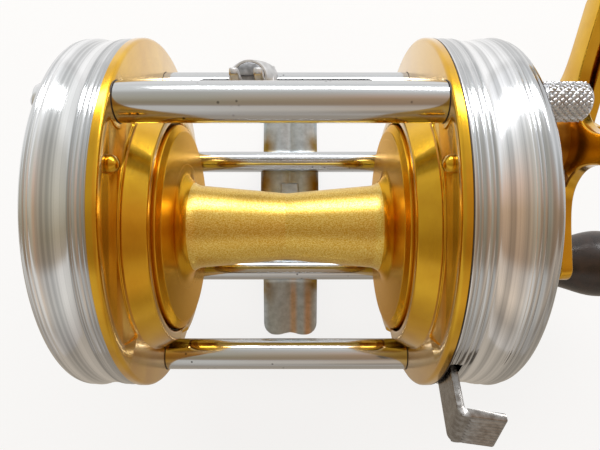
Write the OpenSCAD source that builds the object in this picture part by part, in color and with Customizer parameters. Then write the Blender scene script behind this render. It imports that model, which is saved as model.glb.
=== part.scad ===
// Round-frame baitcasting reel with a level-wind line guide and a star drag.
// X runs along the spool axis towards the handle, Y points forward to the line guide, Z points up.
// The origin is the middle of the underside of the foot. All sizes are in millimetres.

/* [Frame] */
// Radius of the two round frame plates
plate_r = 27; // [26.5:0.5:30]
// Thickness of a frame plate
plate_t = 1.25; // [1.1:0.05:1.6]
// Distance between the inner faces of the frame plates
frame_gap = 39.7; // [38:0.1:46]
// Height of the plate centres above the underside of the foot
axis_h = 31.5; // [30.5:0.5:36]
// How far the spool axis lies behind the plate centres
spool_back = 2.24; // [1.8:0.02:2.6]
// Radius of the throat that the spool flange turns in
throat_r = 17.3; // [17:0.1:17.6]
// Wall of the raised boss round the throat
boss_wall = 2.3; // [1.8:0.1:2.5]
// Height of the boss above the inner face of its plate
boss_h = 2.75; // [2:0.05:3]
// Depth of the arc pocket in the inner face of a plate
pocket_depth = 0.7; // [0.4:0.05:0.8]
// Width of the rim outside the arc pocket
rim_w = 1.7; // [1.2:0.1:2]

/* [Bars] */
// Diameter of the front crossbar
front_bar_d = 5.05; // [4.6:0.05:5.2]
// Diameter of the rear crossbar
rear_bar_d = 5; // [4.6:0.1:6]
// Diameter of the two foot pillars
pillar_d = 4.3; // [4.2:0.1:4.8]
// Diameter of the spigots that hold the bars in the plates
spigot_d = 3.6; // [3.2:0.1:4]
// Diameter of the long screws and thumb screws
screw_d = 2.4; // [2:0.1:2.6]

/* [Foot] */
// Length of the reel foot
foot_l = 54.5; // [50:0.5:60]
// Width of the foot at its middle
foot_w = 12.6; // [11:0.2:14]
// Width of the foot at its tips
foot_tip_w = 11.4; // [10:0.2:12]
// Thickness of the foot at its tips
foot_t = 1.7; // [1.2:0.1:2.2]

/* [Spool] */
// Radius of the spool flanges
flange_r = 16.5; // [16:0.1:16.8]
// Width over the inner edges of the two flange rims
spool_w = 33.6; // [32:0.1:34]
// Thickness of a flange rim
flange_t = 1.5; // [1.2:0.1:1.7]
// Diameter of the arbor at its waist
arbor_d = 11; // [9:0.2:12]
// Diameter of the arbor where its fillets begin
arbor_end_d = 13.4; // [12.4:0.2:15]
// Diameter of the spool shaft
spool_shaft_d = 2.5; // [2.2:0.1:2.6]

/* [Side covers] */
// Wall of the covers at their skirts
cover_wall = 1.5; // [1.2:0.1:1.7]
// Thickness of the end faces of the covers
face_t = 1.5; // [1:0.1:2]
// Height of the left end face above the edge of its skirt
left_dome_h = 1.1; // [0.9:0.1:1.6]
// Height of the right end face above the edge of its skirt
right_dome_h = 1.8; // [1.4:0.1:2.2]
// Width of the fine rings turned on the skirts
ring_fine = 0.42; // [0.35:0.01:0.5]
// Width of the broad rings turned on the skirts
ring_broad = 0.85; // [0.7:0.05:1]
// Width of the hollow band turned on the skirts
cove_w = 2.4; // [2:0.1:3]
// Height of the rings and depth of the hollow band
ring_relief = 0.22; // [0.1:0.02:0.3]
// Radius of the rounded outer edge of the left cover
left_edge_r = 0.45; // [0.4:0.05:0.8]
// Radius of the rounded outer edge of the right cover
right_edge_r = 1; // [0.6:0.1:1.2]
// Diameter of the posts that the long screws pass through
post_d = 4.4; // [4:0.1:4.6]

/* [Level wind] */
// How far the worm axis lies inside the edge of the plates
worm_inset = 6.64; // [6.2:0.02:7]
// Angle of the worm axis from straight ahead
worm_angle = -1.4; // [-4:0.2:2]
// Outside diameter of the level-wind tube
tube_d = 6; // [5.6:0.1:6.4]
// Wall of the level-wind tube
tube_wall = 0.45; // [0.4:0.05:0.5]
// Place of the line guide along the tube at rest
guide_x = -5.1; // [-10:0.1:10]
// Diameter of the turret on the line guide
turret_d = 8.3; // [8:0.1:8.6]
// Height of the guide prongs above the worm axis
prong_top = 17.5; // [12:0.5:18]
// Clear gap between the two guide prongs
prong_gap = 2; // [1.8:0.1:2.2]

/* [Gears] */
// Distance from the spool axis to the drive shaft
gear_dist = 14.4; // [14.1:0.05:14.8]
// Angle of the drive shaft below straight ahead of the spool axis
gear_dip = 9.2; // [8:0.2:11]
// Teeth on the drive gear
drive_teeth = 60; // [54:1:64]
// Teeth on the pinion
pinion_teeth = 12; // [12:1:13]
// Teeth on the worm cog
cog_teeth = 21; // [18:1:22]
// Radius that the pitch circle of the worm cog comes close to
cog_r = 4.2; // [4:0.05:4.3]
// Play between meshing teeth, measured along the pitch circle
backlash = 0.09; // [0.06:0.01:0.12]

/* [Clutch] */
// Angle of the clutch lever at rest, from straight ahead over the top
lever_a = 145; // [140:1:146]
// Distance from the spool axis to the thumb tab
lever_reach = 31.5; // [30:0.5:34]
// Width of the clutch lever
lever_w = 6.4; // [5.6:0.1:6.6]
// Thickness of the clutch lever
lever_t = 1; // [0.8:0.05:1.1]
// Length of the thumb tab along the spool axis
tab_l = 6.3; // [5:0.1:7]
// Turn of the lever from rest to fully pressed, in degrees
lever_turn = 20; // [16:1:22]
// How far the yoke lifts the pinion
yoke_lift = 1.2; // [1:0.1:1.3]

/* [Handle] */
// Diameter of the drive shaft
drive_shaft_d = 6; // [5.6:0.1:6.4]
// Place of the inner face of the star wheel along the axis
star_x = 45; // [44.4:0.1:46]
// Distance from the drive shaft to the tips of the star
star_r = 23.2; // [20:0.2:24.4]
// Thickness of the star wheel
star_t = 1.9; // [1.4:0.1:2.2]
// Thickness of the handle plate
handle_t = 1.7; // [1.4:0.1:2.2]
// Distance from the drive shaft to each knob
handle_reach = 25.5; // [24:0.5:34]
// Angle of the handle above straight ahead
handle_a = 32; // [0:1:60]
// Largest diameter of a handle knob
knob_d = 13; // [11:0.5:15]
// Length of a handle knob
knob_l = 17.5; // [15:0.5:20]

/* [Fits] */
// Radial clearance of a shaft that runs in its bush
run_fit = 0.03; // [0.02:0.01:0.08]
// Radial clearance of pieces that are pushed together and stay put
push_fit = 0.015; // [0.01:0.005:0.02]
// Gap between pieces that pass each other
pass_gap = 0.4; // [0.3:0.05:0.45]

/* [Hidden] */
$fn = 96;

// Colours of the pieces
gold = "#D9A62B";
silver = "#D8D9DB";
steel = "#B9BBBD";
chrome = "#C9CCD0";
brass = "#C9A552";
bronze = "#A77B45";
die_cast = "#8F9194";
dark = "#2E2420";
fibre = "#6B4A32";

// A point at a distance and angle from a centre, in the plane across the spool axis
function polar(c, r, a) = [c[0] + r * cos(a), c[1] + r * sin(a)];
// Points along an arc
function arc(c, r, a0, a1, n = 8) = [for (i = [0 : n]) polar(c, r, a0 + (a1 - a0) * i / n)];
// Sum of the widths of the first n bands of a skirt
function reach(bands, n) = n == 0 ? 0 : bands[n - 1][0] + reach(bands, n - 1);

// Axes of the reel in the Y and Z plane
plate_c = [0, axis_h];
spool_c = [-spool_back, axis_h];
front_bar_inset = 2.72;
front_bar_a = 57.6;
rear_bar_inset = 3.33;
rear_bar_a = 182.9;
pillar_inset = 2.58;
pillar_a = 62.2;
front_c = polar(plate_c, plate_r - front_bar_inset, front_bar_a);
rear_c = polar(plate_c, plate_r - rear_bar_inset, rear_bar_a);
front_pillar_c = polar(plate_c, plate_r - pillar_inset, -pillar_a);
rear_pillar_c = polar(plate_c, plate_r - pillar_inset, 180 + pillar_a);
long_screw_axes = [front_c, rear_c, front_pillar_c];
worm_c = polar(plate_c, plate_r - worm_inset, worm_angle);
drive_c = polar(spool_c, gear_dist, -gear_dip);
stud_c = polar(plate_c, plate_r - 3.72, 77.2);

// Planes across the X axis, from the middle outwards
plate_in = frame_gap / 2;
plate_out = plate_in + plate_t;
boss_face = plate_in - boss_h;
boss_r = throat_r + boss_wall;
cover_in_r = plate_r - cover_wall;
inner_plate_r = plate_r - 5.9;
inner_plate_t = 1.2;
lever_x = plate_out + 0.6;
inner_x = lever_x + lever_t + pass_gap;
inner_x1 = inner_x + inner_plate_t;
cog_x = inner_x1 + pass_gap;
cog_w = 1.3;
stack_gap = 0.15;
ratchet_x = cog_x + cog_w + stack_gap;
ratchet_t = 0.6;
drive_x = ratchet_x + ratchet_t + stack_gap;
drive_w = 1.8;
washer_t = 0.5;
washer_gap = 0.05;
friction_x = drive_x + drive_w + washer_gap;
pressure_x = friction_x + washer_t + washer_gap;
spring_x = pressure_x + washer_t + washer_gap;

// Bands of the skirts from the frame plate outwards: width, and 1 for a ring or -1 for a hollow
left_bands = [
    [ring_fine, 1], [ring_fine * 1.2, 1], [ring_fine * 1.5, 1], [ring_fine * 0.5, 1],
    [ring_fine * 0.8, 1], [cove_w, -1], [ring_broad * 1.2, 1], [ring_broad * 0.9, 1],
    [ring_fine, 1], [ring_fine * 0.8, 1]
];
right_bands = [
    [ring_fine * 1.6, 1], [ring_fine, 1], [ring_broad, 1], [ring_fine * 1.4, 1],
    [ring_fine * 1.5, 1], [cove_w, -1], [ring_broad * 1.4, 1], [ring_fine * 0.6, 1],
    [ring_fine * 1.4, 1], [ring_fine * 1.2, 1], [ring_broad * 1.5, 1]
];
left_edge_x = plate_out + reach(left_bands, len(left_bands));
right_edge_x = plate_out + reach(right_bands, len(right_bands));
left_face_x = left_edge_x + left_edge_r + left_dome_h;
right_face_x = right_edge_x + right_edge_r + right_dome_h;
seat_h = 0.7;
left_seat_x = left_edge_x + left_edge_r + seat_h;
right_seat_x = right_edge_x + right_edge_r + seat_h;
right_inner_face_x = right_face_x - face_t;

// Sizes shared by mating pieces
screw_r = screw_d / 2;
screw_hole_r = screw_r + push_fit;
spigot_r = spigot_d / 2;
shaft_r = spool_shaft_d / 2;
bush_wall = 1.7;
spool_bush_r = shaft_r + run_fit + bush_wall;
tube_r = tube_d / 2;
tube_bore_r = tube_r - tube_wall;
worm_journal_r = 1.4;
worm_end_x = cog_x + cog_w + stack_gap / 2;
drive_r = drive_shaft_d / 2;
drive_journal_r = drive_r - 1;
star_thread_r = drive_r - 0.4;
nut_thread_r = drive_r - 1.1;
handle_square = drive_shaft_d * 0.62;
star_hub_h = 2;
handle_x = star_x + star_t + 0.5;
drive_boss_r = 6.2;
drive_boss_x = star_x - star_hub_h - 1.2;
stud_shank_r = 0.6;

// Places children on an axis parallel to X through the point p, starting at x
module on_x(p, x = 0) {
    translate([x, p[0], p[1]]) rotate([90, 0, 90]) children();
}
module rod(p, x0, x1, r) {
    on_x(p, x0) cylinder(r = r, h = x1 - x0);
}
module sleeve(p, x0, x1, outer_r, inner_r) {
    difference() {
        rod(p, x0, x1, outer_r);
        rod(p, x0 - 1, x1 + 1, inner_r);
    }
}

// Frame plates: a disc, a boss round the spool throat, an arc pocket and the holes for the bars
pocket_start = 66;
pocket_end = 133;
bar_notch_gap = 0.9;
module arc_pocket() {
    intersection() {
        rod(plate_c, plate_in - 1, plate_in + pocket_depth, plate_r - rim_w);
        difference() {
            rod(spool_c, plate_in - 1, plate_in + pocket_depth, 2 * plate_r);
            rod(spool_c, plate_in - 2, plate_out, boss_r + 0.2);
        }
        on_x(spool_c, plate_in - 1) linear_extrude(pocket_depth + 1) polygon(concat(
            [[0, 0]], arc([0, 0], 2 * plate_r, pocket_start, pocket_end, 3)));
    }
}
module frame_plate() {
    edge = 0.3;
    lip = 0.5;
    difference() {
        union() {
            on_x(plate_c, plate_in) rotate_extrude() polygon([
                [0, 0], [plate_r - edge, 0], [plate_r, edge], [plate_r, plate_t], [0, plate_t]
            ]);
            on_x(spool_c, boss_face) rotate_extrude() polygon(concat(
                [[throat_r - 1, boss_h + plate_t / 2], [throat_r - 1, 0]],
                arc([boss_r - lip, lip], lip, -90, 0, 6),
                [[boss_r, boss_h + plate_t / 2]]
            ));
        }
        rod(spool_c, boss_face - 1, plate_out + 1, throat_r);
        on_x(spool_c, boss_face - 0.01) cylinder(r1 = throat_r + lip, r2 = throat_r, h = lip);
        arc_pocket();
        for (c = concat(long_screw_axes, [rear_pillar_c]))
            rod(c, plate_in - 1, plate_out + 1, spigot_r + push_fit);
        rod(worm_c, plate_in - 1, plate_out + 1, tube_r + push_fit);
        rod(worm_c, boss_face - 1, plate_in, tube_r + pass_gap);
        rod(rear_c, boss_face - 1, plate_in, rear_bar_d / 2 + bar_notch_gap);
        rod(stud_c, plate_in - 1, plate_out + 1, stud_shank_r + push_fit);
    }
}
module left_frame_plate() {
    color(gold) mirror([1, 0, 0]) frame_plate();
}
module right_frame_plate() {
    color(gold) frame_plate();
}

// Crossbars and pillars: a rod with a spigot at each end, tapped where a long screw enters
thread_depth = 6;
module bar(c, d, tapped) {
    edge = 0.15;
    difference() {
        union() {
            on_x(c) rotate_extrude() polygon([
                [0, -plate_in], [d / 2 - edge, -plate_in], [d / 2, edge - plate_in],
                [d / 2, plate_in - edge], [d / 2 - edge, plate_in], [0, plate_in]
            ]);
            rod(c, -plate_out, plate_out, spigot_r);
        }
        if (tapped) for (side = [-1, 1])
            rod(c, side < 0 ? -plate_out - 1 : plate_in - thread_depth,
                side < 0 ? thread_depth - plate_in : plate_out + 1, screw_hole_r);
    }
}
module front_crossbar() {
    color(steel) bar(front_c, front_bar_d, true);
}
module rear_crossbar() {
    color(steel) bar(rear_c, rear_bar_d, true);
}
foot_screw_r = 0.9;
module pillar(c, tapped) {
    difference() {
        bar(c, pillar_d, tapped);
        translate([0, c[0], c[1] - pillar_d]) cylinder(r = foot_screw_r + push_fit, h = pillar_d);
    }
}
module front_foot_pillar() {
    color(steel) pillar(front_pillar_c, true);
}
module rear_foot_pillar() {
    color(steel) pillar(rear_pillar_c, false);
}

// Reel foot: a crowned plate with a saddle that carries the two pillars
foot_corner_r = 2.6;
saddle_top = front_pillar_c[1] - pillar_d / 2 + 0.5;
saddle_y = front_pillar_c[0] + pillar_d / 2 + 0.6;
saddle_ramp = 4.5;
foot_crown_r = 24;
foot_head_r = 2;
foot_head_h = 1.2;
module foot_outline() {
    half = foot_l / 2;
    tip = foot_tip_w / 2 - foot_corner_r;
    end = half - foot_corner_r;
    polygon(concat(
        arc([tip, end], foot_corner_r, 0, 90), arc([-tip, end], foot_corner_r, 90, 180),
        [[-foot_w / 2, 0]],
        arc([-tip, -end], foot_corner_r, 180, 270), arc([tip, -end], foot_corner_r, 270, 360),
        [[foot_w / 2, 0]]
    ));
}
module foot_side() {
    half = foot_l / 2;
    toe = saddle_y + saddle_ramp;
    polygon([
        [-half, 0], [half, 0], [half, foot_t * 0.7], [toe, foot_t], [saddle_y, saddle_top],
        [-saddle_y, saddle_top], [-toe, foot_t], [-half, foot_t * 0.7]
    ]);
}
module reel_foot() {
    scallop_r = 9;
    scallop_depth = 0.45;
    rib_w = 3.8;
    rib_l = 2 * (front_pillar_c[0] - pillar_d);
    rib_h = 0.6;
    color(steel) difference() {
        union() {
            intersection() {
                linear_extrude(axis_h) foot_outline();
                translate([-foot_w, 0, 0]) rotate([90, 0, 90]) linear_extrude(2 * foot_w) foot_side();
                translate([0, foot_l, saddle_top - foot_crown_r + 0.3]) rotate([90, 0, 0])
                    cylinder(r = foot_crown_r, h = 2 * foot_l);
            }
            translate([-rib_w / 2, -rib_l / 2, foot_t]) cube([rib_w, rib_l, saddle_top + rib_h - foot_t]);
        }
        for (c = [front_pillar_c, rear_pillar_c]) {
            rod(c, -foot_w, foot_w, pillar_d / 2 + push_fit);
            translate([0, c[0], -1]) cylinder(r = foot_screw_r + push_fit, h = axis_h);
            translate([0, c[0], -1]) cylinder(r = foot_head_r + push_fit, h = foot_head_h + 1);
        }
        for (side = [-1, 1])
            translate([0, side * (foot_l / 2 + scallop_r - scallop_depth), -1])
                cylinder(r = scallop_r, h = axis_h);
    }
}
module foot_screws() {
    recess = 0.2;
    color(steel) for (c = [front_pillar_c, rear_pillar_c]) translate([0, c[0], 0]) difference() {
        union() {
            translate([0, 0, recess]) cylinder(r = foot_head_r, h = foot_head_h - recess);
            translate([0, 0, recess]) cylinder(r = foot_screw_r, h = c[1] - 2 * recess);
        }
        translate([-foot_head_r, -0.25, 0]) cube([2 * foot_head_r, 0.5, 0.7]);
    }
}

// Domed studs that hold the inner plates to the frame plates
stud_head_r = 1;
module stud(depth) {
    head_x = plate_in + pocket_depth;
    difference() {
        intersection() {
            rod(stud_c, head_x - stud_head_r, head_x, stud_head_r);
            translate([head_x, stud_c[0], stud_c[1]]) sphere(r = stud_head_r);
        }
        translate([head_x - 2 * stud_head_r, stud_c[0] - stud_head_r, stud_c[1] - 0.15])
            cube([stud_head_r * 1.35, 2 * stud_head_r, 0.3]);
    }
    rod(stud_c, head_x - 0.1, plate_out + depth, stud_shank_r);
}
module plate_studs() {
    depth = 1;
    color(gold) {
        mirror([1, 0, 0]) stud(depth);
        stud(depth);
    }
}

// Inner plates: they close the throats and carry the bushes and the mechanism
ear_r = 1.8;
hub_wall = 1.2;
left_hub_x = plate_out + inner_plate_t + 2;
left_bush_end = left_hub_x - 0.8;
module worm_notch(x0, x1) {
    rod(worm_c, x0, x1, worm_journal_r + 1.2);
}
module left_inner_plate() {
    spigot_x = plate_in - 0.6;
    color(die_cast) mirror([1, 0, 0]) difference() {
        union() {
            rod(plate_c, plate_out, plate_out + inner_plate_t, inner_plate_r);
            rod(stud_c, plate_out, plate_out + inner_plate_t, ear_r);
            sleeve(spool_c, spigot_x, plate_out + inner_plate_t / 2, throat_r - push_fit, throat_r - 1.6);
            rod(spool_c, plate_out, left_hub_x, spool_bush_r + hub_wall);
        }
        rod(spool_c, plate_in, left_bush_end, spool_bush_r + push_fit);
        worm_notch(plate_in, left_hub_x);
        rod(stud_c, plate_in, left_hub_x, stud_shank_r + push_fit);
    }
}
cam_r = 4.3;
cam_bore_r = 3.3;
yoke_post_r = 1;
yoke_posts_at = [[-1, 8], [-1, -8]];
drive_bush_r = drive_journal_r + run_fit + 0.8;
module lever_slot(x0, x1) {
    half = asin(lever_w / 2 / (plate_r - 6)) + 2.5;
    on_x(spool_c, x0) linear_extrude(x1 - x0) polygon(concat(
        arc([0, 0], lever_reach * 1.5, lever_a - half, lever_a + lever_turn + half, 4), [[0, 0]]));
}
module right_inner_plate() {
    rim = 1.4;
    color(die_cast) difference() {
        union() {
            rod(plate_c, inner_x, inner_x1, inner_plate_r);
            sleeve(plate_c, plate_out, inner_x + inner_plate_t / 2, inner_plate_r, inner_plate_r - rim);
            rod(stud_c, plate_out, inner_x1, ear_r);
        }
        lever_slot(plate_out - 1, inner_x);
        rod(spool_c, plate_out, inner_x1 + 1, cam_r + run_fit);
        rod(drive_c, plate_out, inner_x1 + 1, drive_bush_r + push_fit);
        worm_notch(plate_in, inner_x1 + 1);
        for (p = yoke_posts_at) rod(spool_c + p, plate_out, inner_x1 + 1, yoke_post_r + push_fit);
        rod(pawl_pivot, plate_out, inner_x1 + 1, pawl_pivot_r + push_fit);
        rod(stud_c, plate_in, plate_out + 1.5, stud_shank_r + push_fit);
    }
}

// Side covers: turned shells with rings and a hollow band on the skirt, and posts for the long screws
function band_points(bands, n) = [
    for (k = [0 : len(bands) - 1], i = [0 : n - 1])
        [plate_r - ring_relief + bands[k][1] * ring_relief * sin(180 * i / n),
            reach(bands, k) + bands[k][0] * i / n]
];
module cover_shell(bands, edge_x, edge_r, face_x) {
    skirt = edge_x - plate_out;
    face = face_x - plate_out;
    corner_r = plate_r - ring_relief - edge_r;
    dome_r = plate_r - 7;
    on_x(plate_c, plate_out) rotate_extrude() polygon(concat(
        band_points(bands, 6), arc([corner_r, skirt], edge_r, 0, 90, 6),
        [[dome_r, face - 0.15], [dome_r - 2, face], [0, face], [0, face - face_t],
            [dome_r - 2, face - face_t], [cover_in_r, skirt - 0.4], [cover_in_r, 0]]
    ));
}
module screw_posts(seat_x) {
    for (c = long_screw_axes) rod(c, plate_out, seat_x, post_d / 2);
}
module screw_bores(x1) {
    for (c = long_screw_axes) rod(c, plate_out - 1, x1, screw_hole_r);
}
module left_side_cover() {
    color(silver) mirror([1, 0, 0]) difference() {
        union() {
            cover_shell(left_bands, left_edge_x, left_edge_r, left_face_x);
            screw_posts(left_seat_x);
        }
        screw_bores(left_face_x + 1);
    }
}
neck_r = 4.6;
neck_x = right_face_x + 2.6;
seat_gap = 0.2;
drive_outer_bush_r = drive_r + run_fit + 1.1;
module right_side_cover() {
    color(silver) difference() {
        union() {
            cover_shell(right_bands, right_edge_x, right_edge_r, right_face_x);
            screw_posts(right_seat_x);
            rod(spool_c, right_inner_face_x + face_t / 2, neck_x, neck_r);
        }
        screw_bores(right_face_x + 1);
        for (c = long_screw_axes) rod(c, right_seat_x, right_face_x + 1, thumb_head_r + seat_gap);
        lever_slot(plate_out - 1, lever_x + lever_t + 0.2);
        rod(spool_c, right_inner_face_x - 1, neck_x + 1, spool_bush_r + push_fit);
        rod(drive_c, right_inner_face_x - 1, right_face_x + 1, drive_outer_bush_r + push_fit);
    }
}

// Long screws: domed heads on the left, knurled thumb screws on the right
screw_tip = plate_in - thread_depth + 0.4;
module left_cover_screws() {
    head_r = 1.9;
    head_h = 1.3;
    color(chrome) mirror([1, 0, 0]) for (c = long_screw_axes) {
        difference() {
            on_x(c, left_seat_x) intersection() {
                cylinder(r = head_r, h = head_h);
                translate([0, 0, head_h - 2.2]) sphere(r = 2.2);
            }
            translate([left_seat_x + head_h - 0.6, c[0] - head_r, c[1] - 0.25])
                cube([1, 2 * head_r, 0.5]);
        }
        rod(c, screw_tip, left_seat_x + 0.1, screw_r);
    }
}
thumb_neck_h = 0.9;
thumb_head_h = 4.6;
thumb_head_r = 2.42;
knurls = 26;
module thumb_screw(c) {
    depth = 0.18;
    bevel = 0.5;
    clear_r = thumb_head_r + 0.05;
    rod(c, screw_tip, right_seat_x + 0.1, screw_r);
    rod(c, right_seat_x, right_seat_x + thumb_neck_h + 0.1, thumb_head_r - 0.35);
    intersection() {
        on_x(c, right_seat_x + thumb_neck_h) linear_extrude(thumb_head_h) polygon([
            for (i = [0 : 2 * knurls - 1])
                polar([0, 0], thumb_head_r - (i % 2) * depth, 180 * i / knurls)
        ]);
        on_x(c, right_seat_x + thumb_neck_h) rotate_extrude() polygon([
            [0, 0], [thumb_head_r - bevel / 2, 0], [clear_r, bevel / 2],
            [clear_r, thumb_head_h - bevel], [thumb_head_r - bevel, thumb_head_h], [0, thumb_head_h]
        ]);
    }
}
module takedown_thumb_screws() {
    color(chrome) for (c = long_screw_axes) thumb_screw(c);
}

// Spool, its shaft and the cross pin that the pinion drives
shaft_right_x = neck_x - 1;
pin_r = 0.4;
pin_x = inner_x + 0.35;
pin_reach = 2;
module left_spool_bush() {
    color(bronze) mirror([1, 0, 0])
        sleeve(spool_c, plate_out + 0.2, left_bush_end, spool_bush_r, shaft_r + run_fit);
}
module right_spool_bush() {
    color(bronze) sleeve(spool_c, right_inner_face_x, neck_x - 1.2, spool_bush_r, shaft_r + run_fit);
}
module spool() {
    half = spool_w / 2;
    end = half + flange_t;
    bevel = 1;
    face = half - 0.7;
    fillet = 4;
    waist = arbor_d / 2;
    root = arbor_end_d / 2;
    hub_r = spool_bush_r + 1;
    web = face + 1;
    // One half of the outline, from the waist to the bore, as radius and distance from the middle
    outline = concat(
        [[waist, 0]],
        [for (i = [0 : 8]) [root + fillet * (1 - cos(90 * i / 8)), face - fillet + fillet * sin(90 * i / 8)]],
        [[flange_r - bevel, face], [flange_r, half], [flange_r, end - 0.3], [flange_r - 0.3, end],
            [flange_r - bevel, end], [flange_r - bevel, web], [hub_r, web], [hub_r, end], [0, end], [0, 0]]
    );
    color(gold) difference() {
        on_x(spool_c) union() {
            rotate_extrude() polygon(outline);
            mirror([0, 0, 1]) rotate_extrude() polygon(outline);
        }
        rod(spool_c, -2 * end, 2 * end, shaft_r + push_fit);
    }
}
module spool_shaft() {
    color(steel) difference() {
        rod(spool_c, 0.15 - left_bush_end, shaft_right_x, shaft_r);
        translate([pin_x, spool_c[0] - 5, spool_c[1]]) rotate([-90, 0, 0])
            cylinder(r = pin_r + push_fit, h = 10);
    }
}
module spool_cross_pin() {
    color(steel) translate([pin_x, spool_c[0] - pin_reach, spool_c[1]]) rotate([-90, 0, 0])
        cylinder(r = pin_r, h = 2 * pin_reach);
}

// Brake: two blocks slide out on the pins of a disc and rub in a fixed ring
brake_x = spool_w / 2 + flange_t + 0.1;
brake_disc_w = 2;
brake_mid_x = -brake_x - brake_disc_w / 2;
brake_pin_r = 0.45;
brake_pin_reach = 8.2;
block_start = 4.8;
block_l = 1.8;
block_travel = 2;
brake_ring_r = block_start + block_l + block_travel + 0.2;
module brake_ring() {
    color(brass) mirror([1, 0, 0])
        sleeve(spool_c, brake_x + 0.4, plate_out, brake_ring_r + 1.4, brake_ring_r);
}
module brake_disc() {
    color(die_cast) {
        sleeve(spool_c, -brake_x - brake_disc_w, -brake_x, 4, shaft_r + push_fit);
        for (side = [0, 180]) translate([brake_mid_x, spool_c[0], spool_c[1]]) rotate([side, 0, 0])
            translate([0, 0, 3]) cylinder(r = brake_pin_r, h = brake_pin_reach - 3);
    }
}
module brake_block(side) {
    color(dark) translate([brake_mid_x, spool_c[0], spool_c[1]]) rotate([side, 0, 0])
        translate([0, 0, block_start]) difference() {
            cylinder(r = 1, h = block_l);
            translate([0, 0, -1]) cylinder(r = brake_pin_r + run_fit, h = block_l + 2);
        }
}
module brake_block_upper() {
    brake_block(0);
}
module brake_block_lower() {
    brake_block(180);
}

// Level wind: a slotted tube, the worm in it and the cog that turns the worm
worm_r = tube_bore_r - 0.45;
bush_l = plate_t + 0.9;
guide_half_travel = boss_face - pass_gap - turret_d / 2;
pawl_r = 0.9;
module levelwind_tube() {
    slot_w = 2 * (pawl_r + 0.3);
    slot_l = 2 * (guide_half_travel + pawl_r + 1);
    color(steel) difference() {
        sleeve(worm_c, -plate_out, plate_out, tube_r, tube_bore_r);
        translate([-slot_l / 2, worm_c[0] - slot_w / 2, worm_c[1]]) cube([slot_l, slot_w, tube_d]);
    }
}
module worm_bushes() {
    color(bronze) for (side = [0, 1]) mirror([side, 0, 0])
        sleeve(worm_c, plate_out - bush_l, plate_out, tube_bore_r - push_fit, worm_journal_r + run_fit);
}
module worm() {
    thread_l = 2 * (guide_half_travel + 2);
    rings = 6;
    pitch = thread_l / rings;
    slope = 24;
    groove_w = 0.9;
    groove_r = worm_journal_r + 0.05;
    color(steel) {
        difference() {
            rod(worm_c, -thread_l / 2, thread_l / 2, worm_r);
            for (k = [0 : rings - 1])
                translate([(k + 0.5) * pitch - thread_l / 2, worm_c[0], worm_c[1]])
                    rotate([0, 0, k % 2 == 0 ? slope : -slope])
                        sleeve([0, 0], -groove_w / 2, groove_w / 2, 2 * worm_r, groove_r);
        }
        rod(worm_c, -plate_out - 2.1, 0.05 - thread_l / 2, worm_journal_r);
        rod(worm_c, thread_l / 2 - 0.05, worm_end_x, worm_journal_r);
    }
}
module worm_clip() {
    color(steel) mirror([1, 0, 0])
        sleeve(worm_c, plate_out + 1.4, plate_out + 1.9, worm_journal_r + 0.7, worm_journal_r + push_fit);
}

// Line guide: a carriage that slides on the tube, with a pawl in its turret and two prongs
turret_y = worm_c[0] + 0.7;
turret_top = 4.9;
cap_r = 2.45;
cap_h = 0.6;
pawl_bore_r = 2;
prong_w = 1.2;
prong_t = 1;
prong_y = worm_c[0] - 2.3;
prong_seat = worm_c[1] + 2.4;
module line_guide_carriage() {
    half = turret_d / 2;
    color(chrome) difference() {
        union() {
            rod(worm_c, guide_x - half, guide_x + half, tube_r + 1);
            translate([guide_x, turret_y, worm_c[1]]) rotate_extrude() polygon([
                [0, 0], [half, 0], [half, turret_top - 2.6], [half - 0.2, turret_top - 1.8],
                [half - 0.6, turret_top - 0.9], [cap_r + 0.4, turret_top], [0, turret_top]
            ]);
        }
        rod(worm_c, guide_x - turret_d, guide_x + turret_d, tube_r + run_fit);
        translate([guide_x, turret_y, worm_c[1]]) cylinder(r = pawl_bore_r, h = 2 * turret_top);
        translate([guide_x, turret_y, worm_c[1] + turret_top - cap_h])
            cylinder(r = cap_r + push_fit, h = 2 * cap_h);
        for (side = [-1, 1])
            prong(side, push_fit);
    }
}
module prong(side, grow) {
    x = guide_x + side * (prong_gap + prong_w) / 2;
    top = worm_c[1] + prong_top - prong_w / 2;
    translate([x - prong_w / 2 - grow, prong_y - prong_t / 2 - grow, prong_seat - grow])
        cube([prong_w + 2 * grow, prong_t + 2 * grow, top - prong_seat + grow]);
    translate([x, prong_y + prong_t / 2 + grow, top]) rotate([90, 0, 0])
        cylinder(r = prong_w / 2 + grow, h = prong_t + 2 * grow);
}
module line_guide_prongs() {
    color(chrome) for (side = [-1, 1]) prong(side, 0);
}
module guide_pawl() {
    foot = worm_c[1] + worm_r + 0.3;
    shoulder = worm_c[1] + tube_r + 0.35;
    color(brass) {
        translate([guide_x, worm_c[0], foot]) cylinder(r = pawl_r, h = shoulder - foot + 0.1);
        translate([guide_x, turret_y, shoulder])
            cylinder(r = pawl_bore_r - run_fit, h = worm_c[1] + turret_top - cap_h - 0.6 - shoulder);
    }
}
module pawl_cap() {
    color(steel) difference() {
        union() {
            translate([guide_x, turret_y, worm_c[1] + turret_top - cap_h]) cylinder(r = cap_r, h = cap_h);
            translate([guide_x, turret_y, worm_c[1] + turret_top - cap_h - 0.5])
                cylinder(r = pawl_bore_r - push_fit, h = 0.6);
        }
        translate([guide_x - cap_r, turret_y - 0.45, worm_c[1] + turret_top - 0.35])
            cube([2 * cap_r, 0.9, cap_h]);
    }
}

// Gears: involute teeth with play, drawn from their module, count and pressure angle
pressure = 25;
tip_share = 0.8;
root_share = 1.1;
drive_module = 2 * gear_dist / (drive_teeth + pinion_teeth);
lift_dist = norm(worm_c - drive_c);
lift_teeth = round(2 * (lift_dist - cog_r) / (2 * cog_r / cog_teeth));
lift_module = 2 * lift_dist / (lift_teeth + cog_teeth);
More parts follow.
